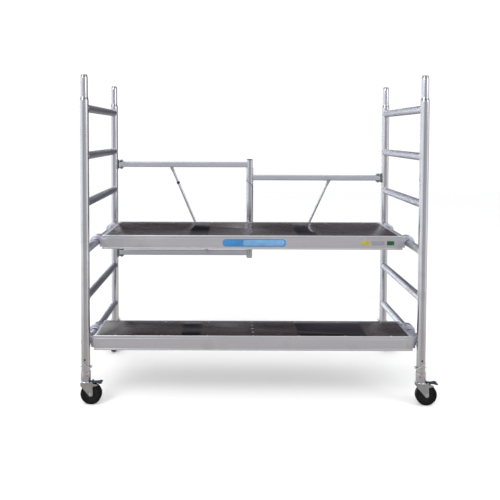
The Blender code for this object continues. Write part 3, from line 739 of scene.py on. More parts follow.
def snap_pin_mesh(side):
    """Pin along X with a grooved knob at +X and a wire clip across the tube at side * Y."""
    east = facing((0, 0, 0), (1, 0, 0))
    pin = Shape()
    pin.turned([(0.0025, -0.033), (0.004, -0.031), (0.0042, -0.029), (0.0042, 0.03)], east, 20)
    pin.turned([(0.0062, 0.0278), (0.0076, 0.0286), (0.008, 0.03), (0.0076, 0.0312),
                (0.007, 0.0318), (0.0076, 0.0324), (0.008, 0.034), (0.0074, 0.0358),
                (0.0052, 0.0372), (0.002, 0.0376)], east, 28)
    route = [(0.0345, 0, 0), (0.0368, 0.0085, -0.0015), (0.0352, 0.02, 0),
             (0.029, 0.0295, 0.004), (0.018, 0.0328, 0.011), (0.006, 0.0325, 0.02),
             (-0.007, 0.0312, 0.03), (-0.0165, 0.0302, 0.036), (-0.021, 0.031, 0.0372)]
    path = smooth([(x, side * y, z) for x, y, z in route], 8)
    pin.sweep(path, [0.0018] * len(path), 12)
    return pin.mesh(WIRE, 50)


def stand(node, corner):
    """Place of a corner's tube, with its front wall towards the outside of the frame."""
    spot = centre(node + corner)
    return at(spot.x, spot.y, 0) @ turn_z(0 if corner.startswith("front") else 180)


def end_frames():
    """Uprights, rungs and welds."""
    tube, rung, weld = upright_mesh(), rung_mesh(), rung_weld_mesh()
    for corner in CORNERS:
        piece("upright_tube_" + corner, tube, FRAMES, TUBE, stand("upright_", corner),
              "upright_" + corner)
    for side in ("left", "right"):
        for number in range(1, RUNG_COUNT + 1):
            node = f"rung_{side}_{number}"
            place = at(*centre(node))
            piece("ribbed_" + node, rung, FRAMES, TUBE, place, node)
            piece("weld_" + node, weld, FRAMES, TUBE, place)


def legs():
    """Leg stems with their collars and the snap pins."""
    stem = stem_mesh()
    screws = {side: collar_screw_mesh(27 * side) for side in SIDES}
    pins = {side: snap_pin_mesh(side) for side in SIDES}
    for corner in CORNERS:
        spot = centre("leg_stem_" + corner)
        left = corner.endswith("left")
        hand = 1 if left == corner.startswith("front") else -1
        place = stand("leg_stem_", corner)
        piece("stem_and_collar_" + corner, stem, FRAMES, ZINC, place, "leg_stem_" + corner)
        piece("collar_screw_" + corner, screws[hand], FRAMES, ZINC, place)
        place = at(spot.x, spot.y, PIN_HEIGHT) @ turn_z(0 if left else 180)
        piece("clip_pin_" + corner, pins[-hand], "pin_" + corner, "spring_wire", place,
              "snap_pin_" + corner)


# ---- castors

def fork_mesh():
    """Pressed fork that trails along +X: bent crown, two legs with bosses, around the swivel."""
    fork = Shape()
    shoulder = CROWN_TOP - 0.004
    leg = rounded([(-0.028, shoulder), (-0.028, 0.114, 0.004),
                   *arc((TRAIL, WHEEL_RADIUS), 0.013, 200, 370, 14),
                   (0.0435, 0.11, 0.006), (0.068, 0.114, 0.004), (0.074, 0.118, 0.003),
                   (0.0725, 0.1222, 0.002), (0.046, 0.1275, 0.004),
                   *arc(PEDAL_PIVOT.xz, 0.0062, 0, 140, 7), (0.029, shoulder)])
    for side in SIDES:
        plane = at(0, side * (LEG_INSIDE + LEG_THICKNESS / 2), 0) @ XZ_PLANE
        fork.plate(leg, LEG_THICKNESS, plane, 0.0007)
        face, out = side * (LEG_OUTSIDE - 0.0004), (0, side, 0)
        fork.turned([(0.0118, 0), (0.0112, 0.0009), (0.0098, 0.0014)],
                    facing((TRAIL, face, WHEEL_RADIUS), out))
        fork.dome(0.0042, 0.0017, facing((PEDAL_PIVOT.x, face, PEDAL_PIVOT.z), out))
    low, foot = CROWN_TOP - 0.0078, CROWN_FOOT + 0.002
    bend = rounded([(-LEG_OUTSIDE, low), (-LEG_OUTSIDE, CROWN_TOP, 0.0045),
                    (LEG_OUTSIDE, CROWN_TOP, 0.0045), (LEG_OUTSIDE, low),
                    (LEG_INSIDE, low), (LEG_INSIDE, foot, 0.002),
                    (-LEG_INSIDE, foot, 0.002), (-LEG_INSIDE, low)], steps=5)
    fork.plate(bend, 0.057, at(0.0005, 0, 0) @ YZ_PLANE, 0.0006)
    return fork.mesh(FORK_ZINC)


def race_mesh():
    """Ball race between the fork and the collar, with the kingpin and its nut."""
    race = Shape()
    race.turned([(0.0258, CROWN_TOP - 0.0012), (0.0275, CROWN_TOP - 0.0002), (0.0275, 0.1358),
                 (0.0266, 0.137), (0.0244, 0.1374), (0.0244, 0.138), (0.0262, 0.1384),
                 (0.0268, 0.1396), (0.0256, 0.1409), (0.0225, 0.1415), (0.012, 0.1415)],
                sides=56)
    race.turned([(0.006, 0.14), (0.006, 0.162), (0.0052, 0.163)], sides=20)
    return race.bolt(0.011, 0.0072, at(0, 0, 0.1507)).mesh(RACE_ZINC)


def axle_mesh():
    """Axle bolt with its head at -Y and its nut at +Y."""
    outside = LEG_OUTSIDE + 0.0009
    axle = Shape().turned(wall(0.0058, (-outside, outside)),
                          at(TRAIL, 0, WHEEL_RADIUS) @ ALONG_Y, 24)
    for side in SIDES:
        place = facing((TRAIL, side * outside, WHEEL_RADIUS), (0, side, 0))
        axle.bolt(0.0085, 0.005, place @ turn_z(15), 0.0098)
    return axle.mesh(BOLT_ZINC)


def mirrored(side):
    """Profile of (radius, height) points, followed by its mirror image in height."""
    return side + [(radius, -height) for radius, height in reversed(side)]


def tyre_mesh():
    """Rubber tyre around the axle, with a crowned tread, a seam line and side grooves."""
    half = WHEEL_HALF
    side = [(WHEEL_RADIUS, 0.003), (WHEEL_RADIUS - 0.0003, 0.0075),
            *arc((WHEEL_RADIUS - 0.0063, half - 0.006), 0.006, 0, 90, 6)[1:],
            (0.0545, half - 0.0001), (0.0538, half - 0.0009), (0.053, half - 0.0002),
            (0.05, half - 0.0002), (0.0478, half - 0.0012), (0.047, half - 0.004)]
    profile = [(WHEEL_RADIUS, 0.0)] + mirrored(side)
    return Shape().turned(profile, ALONG_Y, 72, bored=True).mesh(TYRE_RUBBER)


def rim_mesh():
    """Black moulded rim with a dished web, ribs and a long hub."""
    half = WHEEL_HALF
    side = [(0.0474, half - 0.003), (0.046, half - 0.0018), (0.0438, half - 0.0022),
            (0.0426, half - 0.005), (0.0415, 0.0078), (0.03, 0.007), (0.0225, 0.0078),
            (0.02, 0.01), (0.0185, 0.012), (0.0172, 0.016), (0.016, 0.017), (0.0066, 0.017)]
    rim = Shape().turned(mirrored(side), ALONG_Y, 64, bored=True)
    rib = rectangle(0.0225, 0.0034, 0.0012)
    for step in range(8):
        rim.plate(rib, 0.0215, ALONG_Y @ turn_z(45 * step) @ at(0.0315, 0, 0), 0.0008)
    return rim.mesh(RIM_PLASTIC)


def pedal_mesh():
    """Two-lobed brake pedal around its own pivot, sloping down along +X, with grip bars."""
    half = LEG_INSIDE - 0.0013
    profile = [(0.005, 0), (0.0055, 0.0006), (0.0055, 2 * half - 0.0006),
               (0.005, 2 * half), (0.0034, 2 * half), (0.0034, 0)]
    pedal = Shape().turned(profile, facing((0, -half, 0), (0, 1, 0)), 28, bored=True)
    lobe, reach, spread, neck = 0.0125, 0.0495, 0.013, 0.015
    outline = [(0.002, -neck), (0.024, -neck), *arc((reach, -spread), lobe, 200, 410, 18),
               (reach + 0.006, 0.0), *arc((reach, spread), lobe, -50, 160, 18),
               (0.024, neck), (0.002, neck)]
    slope = Matrix.Rotation(PEDAL_SLOPE, 4, "Y")
    pedal.plate(outline, 0.0038, slope, 0.0011)
    bar = rectangle(0.0022, 0.015, 0.001)
    for side in SIDES:
        for step in (-1, 0, 1):
            spot = at(reach + 0.0046 * step, side * spread, 0.0017)
            pedal.plate(bar, 0.002, slope @ spot, 0.0006)
    spine = rectangle(0.034, 0.005, 0.002)
    pedal.plate(spine, 0.0022, slope @ at(0.025, 0, 0.0016), 0.0008)
    return pedal.mesh(PEDAL_STEEL)


def castors():
    """Fork, race, axle, tyre, rim and pedal of each corner, turned the way the CAD castor is."""
    fork, race, axle = fork_mesh(), race_mesh(), axle_mesh()
    tyre, rim, pedal = tyre_mesh(), rim_mesh(), pedal_mesh()
    for corner in CORNERS:
        stem = centre("leg_stem_" + corner)
        wheel = centre("castor_wheel_" + corner)
        turn = Matrix.Rotation(math.atan2(wheel.y - stem.y, wheel.x - stem.x), 4, "Z")
        swivel = at(stem.x, stem.y, 0) @ turn
        hub = swivel @ at(TRAIL, 0, WHEEL_RADIUS)
        pivot = swivel @ at(*PEDAL_PIVOT)
        for name, mesh, body, slot, place, *nodes in (
                ("pressed_fork_", fork, "castor_", ZINC, swivel, "castor_fork_"),
                ("ball_race_", race, "castor_", ZINC, swivel),
                ("axle_bolt_", axle, "castor_", ZINC, swivel),
                ("tyre_", tyre, "wheel_", RUBBER, hub, "castor_wheel_"),
                ("rim_", rim, "wheel_", RUBBER, hub),
                ("lobed_pedal_", pedal, "pedal_", ZINC, pivot, "brake_pedal_")):
            nodes = [node + corner for node in nodes]
            piece(name + corner, mesh, body + corner, slot, place, *nodes)


# ---- platforms

def side_beam_mesh():
    """Edge beam along X: rounded lip, shadow groove, sunk face, deck ledge and foot flange."""
    top, ledge, lip = BEAM_HEIGHT, BEAM_HEIGHT - BEAM_LEDGE, BEAM_HEIGHT - 0.0125
    outline = rounded([
        (0, 0, 0.0008), (0.028, 0), (0.028, 0.0025), (BEAM_WEB, 0.0025, 0.0015),
        (BEAM_WEB, ledge - 0.0025, 0.0015), (0.03, ledge - 0.0025), (0.03, ledge),
        (BEAM_WEB, ledge), (BEAM_WEB, top, 0.0006), (0.0026, top, 0.0006),
        (0.0012, top - 0.0022, 0.0015), (0.0004, top - 0.0058, 0.002),
        (0, top - 0.0092, 0.001), (0, lip, 0.0006), (0.0021, lip - 0.0008),
        (0.0021, lip - 0.0042), (0.0009, lip - 0.0052), (0.0009, 0.0112), (0.0014, 0.0106),
        (0.0014, 0.0098), (0.0009, 0.0092), (0.0009, 0.0075), (0, 0.0062, 0.0005)], 0.0004, 3)
    rings = [[Vector((HALF_LENGTH * share, y, z)) for y, z in outline]
             for share in (-1, -0.5, 0, 0.5, 1)]
    return Shape().skin(rings).mesh(BEAM_METAL)


def inside(width):
    """Half the clear width between a platform's edge beams."""
    return width / 2 - BEAM_WEB - 0.0003


def end_beam_mesh(width):
    """Hollow end beam at +X of a platform, along Y."""
    low, high = 0.0028, LEDGE_FOOT
    place = at(HALF_LENGTH - END_BEAM_DEPTH / 2, 0, (low + high) / 2) @ XZ_PLANE
    beam = Shape().pipe(END_BEAM_DEPTH, high - low, 0.0025, inside(width), place)
    return beam.mesh(CROSS_METAL)


def cross_member_mesh(width):
    """Hollow cross-member under the middle of a deck, along Y."""
    place = at(0, 0, LEDGE_FOOT - 0.015) @ XZ_PLANE
    member = Shape().pipe(0.05, 0.03, 0.002, inside(width), place)
    return member.mesh(CROSS_METAL)


def claw_mesh(width):
    """Two cast claws of an end beam, hooked over the rung, with ribs around their outside."""
    edge = HALF_LENGTH - HALF_SPAN + 0.0003
    arm = HALF_LENGTH - HALF_SPAN - 0.0015
    outside = arc(CLAW_CENTRE, CLAW_RADIUS, -25, 132, 30)
    outline = rounded([
        (arm, -0.028, 0.002), (-CLAW_INSIDE, -0.028, 0.004),
        *arc((0, 0), CLAW_INSIDE, 180, 0, 28),
        (CLAW_INSIDE, -0.0105, 0.002), (CLAW_INSIDE + 0.007, -0.0135, 0.003), *outside,
        (edge, outside[-1][1], 0.002), (edge, CLAW_ARM_TOP), (arm, CLAW_ARM_TOP)])
    waist = arc(CLAW_CENTRE, CLAW_RADIUS - 0.0036, -18, 128, 26)
    waist += arc((0, 0), CLAW_INSIDE + 0.004, 150, 0, 22)
    rib = arc((0, 0), CLAW_INSIDE + 0.003, 0, 180, 20)
    claw = Shape()
    for side in SIDES:
        place = at(HALF_SPAN, side * (width / 2 - CLAW_INSET), RUNG_IN_BEAM) @ XZ_PLANE
        claw.plate(outline, CLAW_WIDTH, place, 0.0022)
        claw.plate(waist, CLAW_WIDTH + 0.0016, place, 0.001)
        for face in SIDES:
            bead = [Vector((x, z, face * (CLAW_WIDTH / 2 + 0.0002))) for x, z in rib]
            claw.sweep(bead, [0.0022] * len(bead), place=place)
    return claw.mesh(CAST)


def claw_bolt_mesh(width):
    """Bolts through the arms of the claws at +X."""
    bolts = Shape()
    for side, across in QUADRANTS:
        spot = (HALF_LENGTH - END_BEAM_DEPTH - 0.0002,
                side * (width / 2 - CLAW_INSET) + across * 0.015, RUNG_IN_BEAM + 0.004)
        bolts.bolt(0.0062, 0.004, facing(spot, (-1, 0, 0)), 0.008)
    return bolts.mesh(BOLT_ZINC)


def deck_mesh(name, width):
    """Plywood deck between the end trims, with eased edges."""
    outline = rectangle(2 * (HALF_LENGTH - TRIM_WIDTH - 0.0003), 2 * inside(width), 0.0015)
    place = at(0, 0, DECK_FOOT + DECK_THICKNESS / 2)
    return Shape().plate(outline, DECK_THICKNESS, place, 0.0008).mesh(DECK_FILM[name])


def trim_mesh(width):
    """Aluminium strips that close both ends of the deck."""
    under = DECK_TOP - 0.0025
    outline = rounded([(0.001, DECK_FOOT), (0.001, DECK_TOP), (TRIM_WIDTH, DECK_TOP),
                       (TRIM_WIDTH, under), (0.004, under), (0.004, DECK_FOOT)], 0.0006, 3)
    trim = Shape()
    for side in SIDES:
        section = [(side * (HALF_LENGTH - x), z) for x, z in outline]
        trim.plate(section, 2 * inside(width), XZ_PLANE, 0.0004)
    return trim.mesh(CROSS_METAL)


def rivet_mesh(width):
    """Rivets: along both edges of the deck, over the cross-member and in the beams' ends."""
    rivets = Shape()
    edge = width / 2 - 0.016
    spots = [(x * (HALF_LENGTH - 0.125) / 3, side * edge) for x in range(-3, 4)
             for side in SIDES]
    spots += [(0.0, across * edge) for across in (-0.5, 0.0, 0.5)]
    spots += [(side * (HALF_LENGTH - 0.01), across * edge)
              for side in SIDES for across in (-0.9, -0.3, 0.3, 0.9)]
    for x, y in spots:
        rivets.dome(0.0048, 0.0013, at(x, y, DECK_TOP - 0.0001))
    return rivets.mesh(RIVET_METAL, 50)


def corner_screw_mesh(width):
    """Sunk screws in the corner plates."""
    profile = [(0.0052, 0), (0.005, 0.0005), (0.0036, 0.0006), (0.003, 0.0001), (0.0006, 0.0001)]
    screws = Shape()
    for side, end in QUADRANTS:
        for height in (0.026, 0.056):
            spot = (end * (HALF_LENGTH - 0.015), side * (width / 2 - 0.0008), height)
            screws.turned(profile, facing(spot, (0, side, 0)), 20)
    return screws.mesh(PEDAL_STEEL, 50)


def corner_mesh(width):
    """Cast corner plates over the ends of both edge beams, with a curved inner edge."""
    corners = Shape()
    foot, head = 0.0105, BEAM_HEIGHT - 0.0182
    curve = arc((-0.03, (foot + head) / 2), 0.068, -24, 24, 12)
    for side, end in QUADRANTS:
        outline = [(end * (HALF_LENGTH - x), z)
                   for x, z in ((0.0004, foot), *curve, (0.0004, head))]
        corners.plate(outline, 0.0011, at(0, side * (width / 2 - 0.00055), 0) @ XZ_PLANE)
    return corners.mesh(CORNER_METAL)


def platform(name):
    """All pieces of one platform."""
    low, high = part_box(name + "_front_beam")
    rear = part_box(name + "_rear_beam")[1]
    width = rear.y - low.y
    base = at((low.x + high.x) / 2, (low.y + rear.y) / 2, low.z)
    front = base @ at(0, -width / 2, 0)
    back = base @ at(0, width / 2, 0) @ HALF_TURN
    beam, end_beam = side_beam_mesh(), end_beam_mesh(width)
    claws, bolts = claw_mesh(width), claw_bolt_mesh(width)
    rows = [("_front_edge_beam", beam, EXTRUSION, front, "_front_beam"),
            ("_rear_edge_beam", beam, EXTRUSION, back, "_rear_beam")]
    for side, end in (("_right", base), ("_left", base @ HALF_TURN)):
        rows += [("_end_tube" + side, end_beam, CASTING, end, "_end_beam" + side),
                 ("_claws" + side, claws, CASTING, end),
                 ("_claw_bolts" + side, bolts, CASTING, end)]
    rows += [("_corner_plates", corner_mesh(width), CASTING, base),
             ("_middle_tube", cross_member_mesh(width), EXTRUSION, base, "_cross_member"),
             ("_film_deck", deck_mesh(name, width), "phenolic_plywood", base, "_deck"),
             ("_end_trims", trim_mesh(width), EXTRUSION, base),
             ("_rivets", rivet_mesh(width), EXTRUSION, base),
             ("_corner_screws", corner_screw_mesh(width), ZINC, base)]
    for label, mesh, slot, place, *nodes in rows:
        piece(name + label, mesh, name, slot, place, *(name + node for node in nodes))
    return front


def stickers(front):
    """Plain coloured vinyl labels, without any lettering, on the upper platform's front."""
    face = front @ at(0, 0.0009, 0.0415)
    for name, width, height, radius, steps, x, y, colour in (
            ("blue_label", 0.4, 0.049, 0.0245, 14, 0.012, 0, (0.022, 0.125, 0.285)),
            ("blue_label_panel", 0.262, 0.037, 0.017, 8, 0.072, -0.0003, (0.095, 0.205, 0.35)),
            ("yellow_label", 0.046, 0.026, 0.002, 4, 0.716, 0, (0.29, 0.26, 0.025)),
            ("grey_label", 0.08, 0.026, 0.002, 4, 0.796, 0, (0.175, 0.172, 0.205)),
            ("green_label", 0.046, 0.027, 0.002, 4, 0.874, 0, (0.004, 0.055, 0.022))):
        outline = rectangle(width, height, radius, steps)
        label = Shape().plate(outline, 0.0004, face @ at(x, y, 0) @ XZ_PLANE, 0.0001)
        piece(name, label.mesh(vinyl(name + "_vinyl", colour)), "upper_platform", EXTRUSION)


# ---- rear folding frame

def rail_mesh(cope_radius):
    """Rail from its hinge bolt, at the origin, along +X to the centre post."""
    def ring(outline, x):
        return [Vector((x(y), y, z)) for y, z in outline]

    stations = [lambda y: -RAIL_END, lambda y: 0.35 * PIVOT_X, lambda y: 0.7 * PIVOT_X,
                lambda y: PIVOT_X - math.sqrt(cope_radius ** 2 - y ** 2) - 0.0003]
    outer = rectangle(RAIL_DEPTH, RAIL_HEIGHT, 0.0062, 6)
    inner = rectangle(RAIL_DEPTH - 2 * RAIL_WALL, RAIL_HEIGHT - 2 * RAIL_WALL, 0.0045, 6)
    rings = [ring(outer, x) for x in stations] + [ring(inner, x) for x in reversed(stations)]
    return Shape().skin(rings, loop=True).mesh(RAIL_METAL)


def rail_weld_mesh(cope_radius):
    """Bead around the end of a rail at the centre post."""
    path, radii, length = [], [], 0.0
    for y, z in rectangle(RAIL_DEPTH + 0.0008, RAIL_HEIGHT + 0.0008, 0.0062, 12):
        point = Vector((PIVOT_X - math.sqrt(cope_radius ** 2 - y ** 2) - 0.0008, y, z))
        if path:
            length += (point - path[-1]).length
        path.append(point)
        radii.append(0.0022 + 0.0003 * math.sin(length * 1800))
    return Shape().sweep(path, radii, loop=True).mesh(WELD, 60)


def rail_plug_mesh():
    """Plastic plug in the hinge end of a rail."""
    place = at(-RAIL_END - 0.0002, 0, 0) @ YZ_PLANE
    face = rectangle(RAIL_DEPTH - 0.0006, RAIL_HEIGHT - 0.0006, 0.0058, 6)
    body = rectangle(RAIL_DEPTH - 2 * RAIL_WALL - 0.0004, RAIL_HEIGHT - 2 * RAIL_WALL - 0.0004,
                     0.004, 5)
    plug = Shape().plate(face, 0.0018, place, 0.0007)
    return plug.plate(body, 0.004, place @ at(0, 0, 0.0026), 0.0004).mesh(PLUG_PLASTIC)


def post_mesh():
    """Inner post of the centre hinge, open at both ends."""
    low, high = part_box("centre_post")
    bore = POST_RADIUS - 0.0025
    profile = [(bore, high.z), (POST_RADIUS - 0.0007, high.z), (POST_RADIUS, high.z - 0.0007),
               (POST_RADIUS, low.z + 0.004), (POST_RADIUS - 0.002, low.z), (bore, low.z)]
    return Shape().turned(profile, sides=56, bored=True).mesh(POST_METAL)


def post_cap_mesh():
    """Black cap in the top of the inner post, around the post's axis."""
    top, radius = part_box("centre_post")[1].z, POST_RADIUS
    profile = [(radius - 0.0029, top - 0.012), (radius - 0.0027, top - 0.0115),
               (radius - 0.0027, top + 0.0001), (radius - 0.0002, top + 0.0001),
               (radius, top + 0.0006), (radius, top + 0.0034), (radius - 0.0012, top + 0.0046),
               (radius * 0.5, top + 0.0052), (0.001, top + 0.0053)]
    return Shape().turned(profile, sides=48).mesh(RIM_PLASTIC)


def slanted(radius, shift):
    """Ring of points around Z on the slant of the sleeve's groove, moved up by a shift."""
    return [Vector((x, y, GROOVE_HEIGHT - GROOVE_SLOPE * x + shift))
            for x, y in circle(radius, 72)]


def sleeve_mesh():
    """Outer sleeve of the centre hinge, with a slanted groove that is low at the right."""
    def flat(radius, height):
        return [Vector((x, y, height)) for x, y in circle(radius, 72)]

    low, high = (corner.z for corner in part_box("centre_sleeve"))
    wide, floor = SLEEVE_RADIUS, SLEEVE_RADIUS - 0.002
    rings = [flat(SLEEVE_BORE, low), flat(wide - 0.0006, low), flat(wide, low + 0.0006),
             slanted(wide, -0.0022), slanted(wide - 0.0005, -0.0015), slanted(floor, -0.0015),
             slanted(floor, 0.0015), slanted(wide - 0.0005, 0.0015), slanted(wide, 0.0022),
             flat(wide, high - 0.001), flat(wide - 0.0007, high), flat(SLEEVE_BORE, high)]
    return Shape().skin(rings, loop=True).mesh(POST_METAL)


def groove_shadow_ring_mesh():
    """Dark plastic ring in the sleeve's slanted groove: painted shade for the shadow in the joint
    there.
    """
    rings = [slanted(SLEEVE_RADIUS - depth, shift) for depth, shift in (
        (0.0018, -0.0013), (0.0003, -0.0013), (0, -0.0008),
        (0, 0.0008), (0.0003, 0.0013), (0.0018, 0.0013))]
    return Shape().skin(rings, loop=True).mesh(RIM_PLASTIC)


def strut_mesh(top, foot):
    """Strut behind the rails between two (along, height) points, with flattened ends."""
    start = Vector((foot[0], 0, foot[1]))
    end = Vector((top[0], 0, top[1]))
    run = (end - start).normalized()
    across = Vector((run.z, 0, -run.x))
    length = (end - start).length
    stations = [0.0, 0.006, 0.022, 0.03, 0.038, 0.046, 0.056, 0.066]
    stations += [length / 2] + [length - station for station in reversed(stations)]
    rings = []
    for station in stations:
        near = min(station, length - station)
        share = ease(min(1.0, max(0.0, (near - 0.022) / 0.044)))
        wide = STRUT_FLAT + (STRUT_RADIUS - STRUT_FLAT) * share
        if near < 0.006:
            wide *= 0.62
        thick = STRUT_THIN + (STRUT_RADIUS - STRUT_THIN) * share
        middle = start + run * station + Vector((0, RAIL_DEPTH / 2 + 0.0003 + thick, 0))
        rings.append([middle + across * (wide * math.cos(a)) + Vector((0, thick * math.sin(a), 0))
                      for a in turns(28)])
    return Shape().skin(rings).mesh(STRUT_METAL, 40)


def strut_clip_mesh(top, foot, share):
    """Black clip around a strut, at a share of its length from the top."""
    behind = RAIL_DEPTH / 2 + 0.0003 + STRUT_RADIUS
    start, end = (Vector((x, behind, z)) for x, z in (top, foot))
    middle = start.lerp(end, share)
    profile = [(STRUT_RADIUS + out, height) for out, height in (
        (0.0002, -0.0085), (0.0022, -0.0085), (0.0028, -0.0075),
        (0.0028, 0.0075), (0.0022, 0.0085), (0.0002, 0.0085))]
    clip = Shape().turned(profile, facing(middle, end - middle), 32, bored=True)
    return clip.mesh(RIM_PLASTIC)


def strut_bolt_mesh(points):
    """Bolt heads behind the strut's ends and rivet heads on the front of the rails."""
    bolts = Shape()
    for x, z in points:
        bolts.bolt(0.0065, 0.0042, facing((x, RAIL_DEPTH / 2 + 0.004, z), (0, 1, 0)), 0.0082)
        bolts.dome(0.0058, 0.0022, facing((x, -RAIL_DEPTH / 2 + 0.0001, z), (0, -1, 0)))
    return bolts.mesh(BOLT_ZINC, 40)


def bracket_mesh():
    """Cast hinge bracket around its bolt's axis, with its upright at -X."""
    half, back = 0.017, -0.02
    reach = math.degrees(math.asin(half / (TUBE_RADIUS + 0.0003)))
    seat = arc((-PIVOT_OFFSET, 0), TUBE_RADIUS + 0.0003, -reach, reach, 10)
    web = [(back, half), (seat[-1][0], half), *seat[-2:0:-1], (seat[0][0], -half), (back, -half)]
    bracket = Shape().plate(web, 2 * BRACKET_HALF, Matrix(), 0.0012)
    flange = [(-0.0212, -0.0165), *arc((0, 0), 0.016, -90, 90, 20), (-0.0212, 0.0165)]
    for side in SIDES:
        middle = side * (FLANGE_INSIDE + FLANGE_THICKNESS / 2)
        bracket.plate(flange, FLANGE_THICKNESS, at(0, 0, middle), 0.0011)
    # the bracket's dark colour is painted shade for the gaps around the rail plug
    return bracket.mesh(BRACKET_PAINTED_SHADE_CAST)


def bracket_weld_mesh():
    """Beads that join a hinge bracket to its upright."""
    weld = Shape()
    radii = [0.0024 + 0.0004 * math.sin(step * 1.7) for step in range(61)]
    for side in SIDES:
        weld.sweep([Vector((-0.0335, side * 0.0172, -BRACKET_HALF + 2 * BRACKET_HALF * step / 60))
                    for step in range(61)], radii)
    return weld.mesh(WELD, 60)


def hinge_bolt_mesh(with_shank):
    """Head, nut and, where the rail's bolt is there, the shank of a hinge."""
    bolt = Shape()
    outside = FLANGE_INSIDE + FLANGE_THICKNESS
    bolt.bolt(0.0093, 0.0055, at(0, 0, outside), 0.0108)
    bolt.bolt(0.0093, 0.0055, facing((0, 0, -outside), (0, 0, -1)), 0.0108)
    if with_shank:
        bolt.turned(wall(0.0059, (-outside, outside)), sides=24)
    return bolt.mesh(BOLT_ZINC)


def rear_frame():
    """Both leaves of the rear frame and the brackets that they hang on."""
    y = centre("centre_post").y
    left_axis, post_axis, right_axis = (at(MIDDLE_X + x, y, 0) for x in (-PIVOT_X, 0, PIVOT_X))
    plug, bracket, bracket_weld = rail_plug_mesh(), bracket_mesh(), bracket_weld_mesh()
    for side, axis, turn, radius in (("left", left_axis, Matrix(), POST_RADIUS),
                                     ("right", right_axis, HALF_TURN, SLEEVE_RADIUS)):
        body = f"rear_{side}_leaf"
        rail, weld = rail_mesh(radius), rail_weld_mesh(radius)
        hinge_bolt = hinge_bolt_mesh(side == "left")
        for level in ("upper", "lower"):
            node = f"rear_{side}_{level}_rail"
            end = f"_{side}_{level}"
            place = axis @ at(0, 0, centre(node).z) @ turn
            piece(node + "_tube", rail, body, EXTRUSION, place, node)
            piece(node + "_weld", weld, body, EXTRUSION, place)
            piece(node + "_plug", plug, body, EXTRUSION, place)
            piece("clevis" + end, bracket, FRAMES, CASTING, place, "hinge_bracket" + end)
            piece("clevis_weld" + end, bracket_weld, FRAMES, CASTING, place)
            piece("hinge_bolt" + end, hinge_bolt, FRAMES, ZINC, place)
    left, right = "rear_left_leaf", "rear_right_leaf"
    piece("inner_post", post_mesh(), left, TUBE, post_axis, "centre_post")
    piece("post_cap", post_cap_mesh(), left, RUBBER, post_axis)
    piece("slanted_sleeve", sleeve_mesh(), right, TUBE, post_axis, "centre_sleeve")
    # painted shade: a dark ring stands for the shadow in the sleeve's groove
    piece("slanted_ring", groove_shadow_ring_mesh(), right, RUBBER, post_axis)
    struts = (("left", left_axis, (0.361, 1.375), (0.634, 0.735)),
              ("right", post_axis, (0.592, 1.28), (0.388, 0.832)))
    for side, axis, top, foot in struts:
        body = f"rear_{side}_leaf"
        piece("flattened_strut_" + side, strut_mesh(top, foot), body, TUBE, axis,
              f"rear_{side}_strut")
        piece("strut_bolts_" + side, strut_bolt_mesh((top, foot)), body, ZINC, axis)
    clip = strut_clip_mesh(*struts[0][2:], 0.203)
    piece("strut_clip_left", clip, left, RUBBER, left_axis)


# ---- floor, light and camera

def floor():
    """Plain pale floor."""
    look = Finish("studio_floor", 0.0)
    colour = look.mix(look.noise(0.9, 3.0), (0.976,) * 3, (0.986,) * 3)
    material = look.finish(colour, 0.75)
    sheet = Shape().plate(rectangle(24.0, 24.0, 2.0, 8), 0.02, at(0, 0, -0.0105), 0.002)
    obj = linked("studio_floor", sheet.mesh(material))
    obj.visible_glossy = False


def field(colour):
    """Colour of a field, which FIELD_STRENGTH makes brighter again."""
    return tuple(channel / FIELD_STRENGTH for channel in colour)


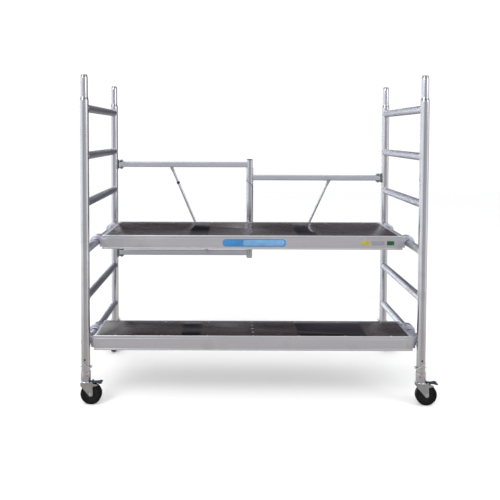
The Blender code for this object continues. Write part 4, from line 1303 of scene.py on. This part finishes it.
def world_light():
    """White surroundings, with soft light and dark fields where metal mirrors them."""
    # azimuth from behind the camera (0 and 1 at -Y), through the left side (0.25), the back
    # of the room (0.5) and the right side (0.75)
    fields = (
        (0.000, (0.64, 0.64, 0.67)), (0.035, (0.52, 0.52, 0.55)), (0.062, (0.52, 0.53, 0.56)),
        (0.100, (1.05, 1.07, 1.12)), (0.180, (1.25, 1.28, 1.34)), (0.215, (1.60, 1.64, 1.72)),
        (0.300, (1.50, 1.55, 1.62)), (0.360, (1.15, 1.20, 1.27)), (0.402, (0.60, 0.63, 0.68)),
        (0.412, (3.30, 3.40, 3.58)), (0.442, (3.30, 3.40, 3.58)), (0.450, (0.03, 0.03, 0.04)),
        (0.490, (0.03, 0.03, 0.04)), (0.500, (0.16, 0.15, 0.18)), (0.502, (0.70, 0.69, 0.72)),
        (0.506, (0.70, 0.69, 0.72)), (0.509, (0.04, 0.04, 0.05)), (0.525, (0.05, 0.05, 0.06)),
        (0.535, (0.13, 0.12, 0.15)), (0.640, (0.15, 0.14, 0.17)), (0.680, (0.45, 0.43, 0.47)),
        (0.725, (1.30, 1.27, 1.30)), (0.764, (1.85, 1.82, 1.83)), (0.805, (1.05, 1.03, 1.03)),
        (0.845, (0.98, 0.97, 0.98)), (0.880, (0.68, 0.67, 0.68)), (1.000, (0.64, 0.64, 0.67)),
    )
    world = bpy.data.worlds.new("studio")
    bpy.context.scene.world = world
    tree = Nodes(world)
    white = tree.nodes["Background"]
    tree.feed(white.inputs["Color"], (1.0, 1.0, 1.0))
    tree.feed(white.inputs["Strength"], 1.03)
    axes = tree.axes(tree.add("TexCoord", {}).outputs["Generated"])
    turn = tree.between(tree.math("ARCTAN2", axes["X"], axes["Y"]), -math.pi, math.pi)
    bands = tree.add("ValToRGB", {"Fac": turn})
    stops = bands.color_ramp.elements
    while len(stops) < len(fields):
        stops.new(0.5)
    for stop, (position, colour) in zip(stops, fields):
        stop.position = position
        stop.color = (*field(colour), 1.0)
    sky = bands.outputs["Color"]
    for first, last, colour in ((0.35, 0.75, (1.1, 1.12, 1.16)),
                                (-0.16, -0.42, (0.66, 0.62, 0.57))):
        sky = tree.mix(tree.between(axes["Z"], first, last, curve="SMOOTHSTEP"), sky,
                       field(colour))
    mirrored_sky = tree.add("Background", {"Color": sky, "Strength": FIELD_STRENGTH})
    glossy = tree.add("LightPath", {}).outputs["Is Glossy Ray"]
    choice = tree.add("MixShader", {0: glossy, 1: white.outputs[0], 2: mirrored_sky.outputs[0]})
    tree.feed(tree.nodes["World Output"].inputs["Surface"], choice.outputs[0])


def area_light(name, spot, target, size, power, colour, glossy=True):
    """Large soft light at a spot, aimed at a target, that metal may mirror."""
    light = bpy.data.lights.new(name, "AREA")
    light.shape = "RECTANGLE"
    light.size, light.size_y = size
    light.energy = power
    light.color = colour
    obj = linked(name, light)
    obj.location = spot
    obj.rotation_euler = (Vector(target) - Vector(spot)).to_track_quat("-Z", "Y").to_euler()
    obj.visible_glossy = glossy


def camera():
    """Camera at the height and angle that the photograph was taken from."""
    data = bpy.data.cameras.new("camera")
    data.lens = 40.93
    data.sensor_width = 36.0
    data.shift_x = 0.0366
    data.shift_y = -0.1898
    data.clip_end = 100.0
    down = Matrix.Rotation(math.pi / 2 - math.radians(2.164), 4, "X")
    place = at(MIDDLE_X - 0.1326, -3.7527, 1.6085) @ down @ turn_z(0.193)
    bpy.context.scene.camera = linked("camera", data, place)


end_frames()
legs()
castors()
platform("lower_platform")
stickers(platform("upper_platform"))
rear_frame()

floor()
world_light()
area_light("key_light", (-3.2, -3.4, 4.2), (0, 0, 0.8), (2.4, 2.4), 110, (1.0, 0.99, 0.97))
area_light("fill_light", (3.6, -2.4, 3.4), (0, 0, 0.8), (2.0, 2.6), 45, (0.95, 0.97, 1.0))
area_light("low_light", (0.0, -5.0, 1.1), (0, 0.3, 0), (6.0, 1.2), 110, (1.0, 1.0, 1.0), False)
camera()
bpy.context.scene.view_settings.view_transform = "Standard"
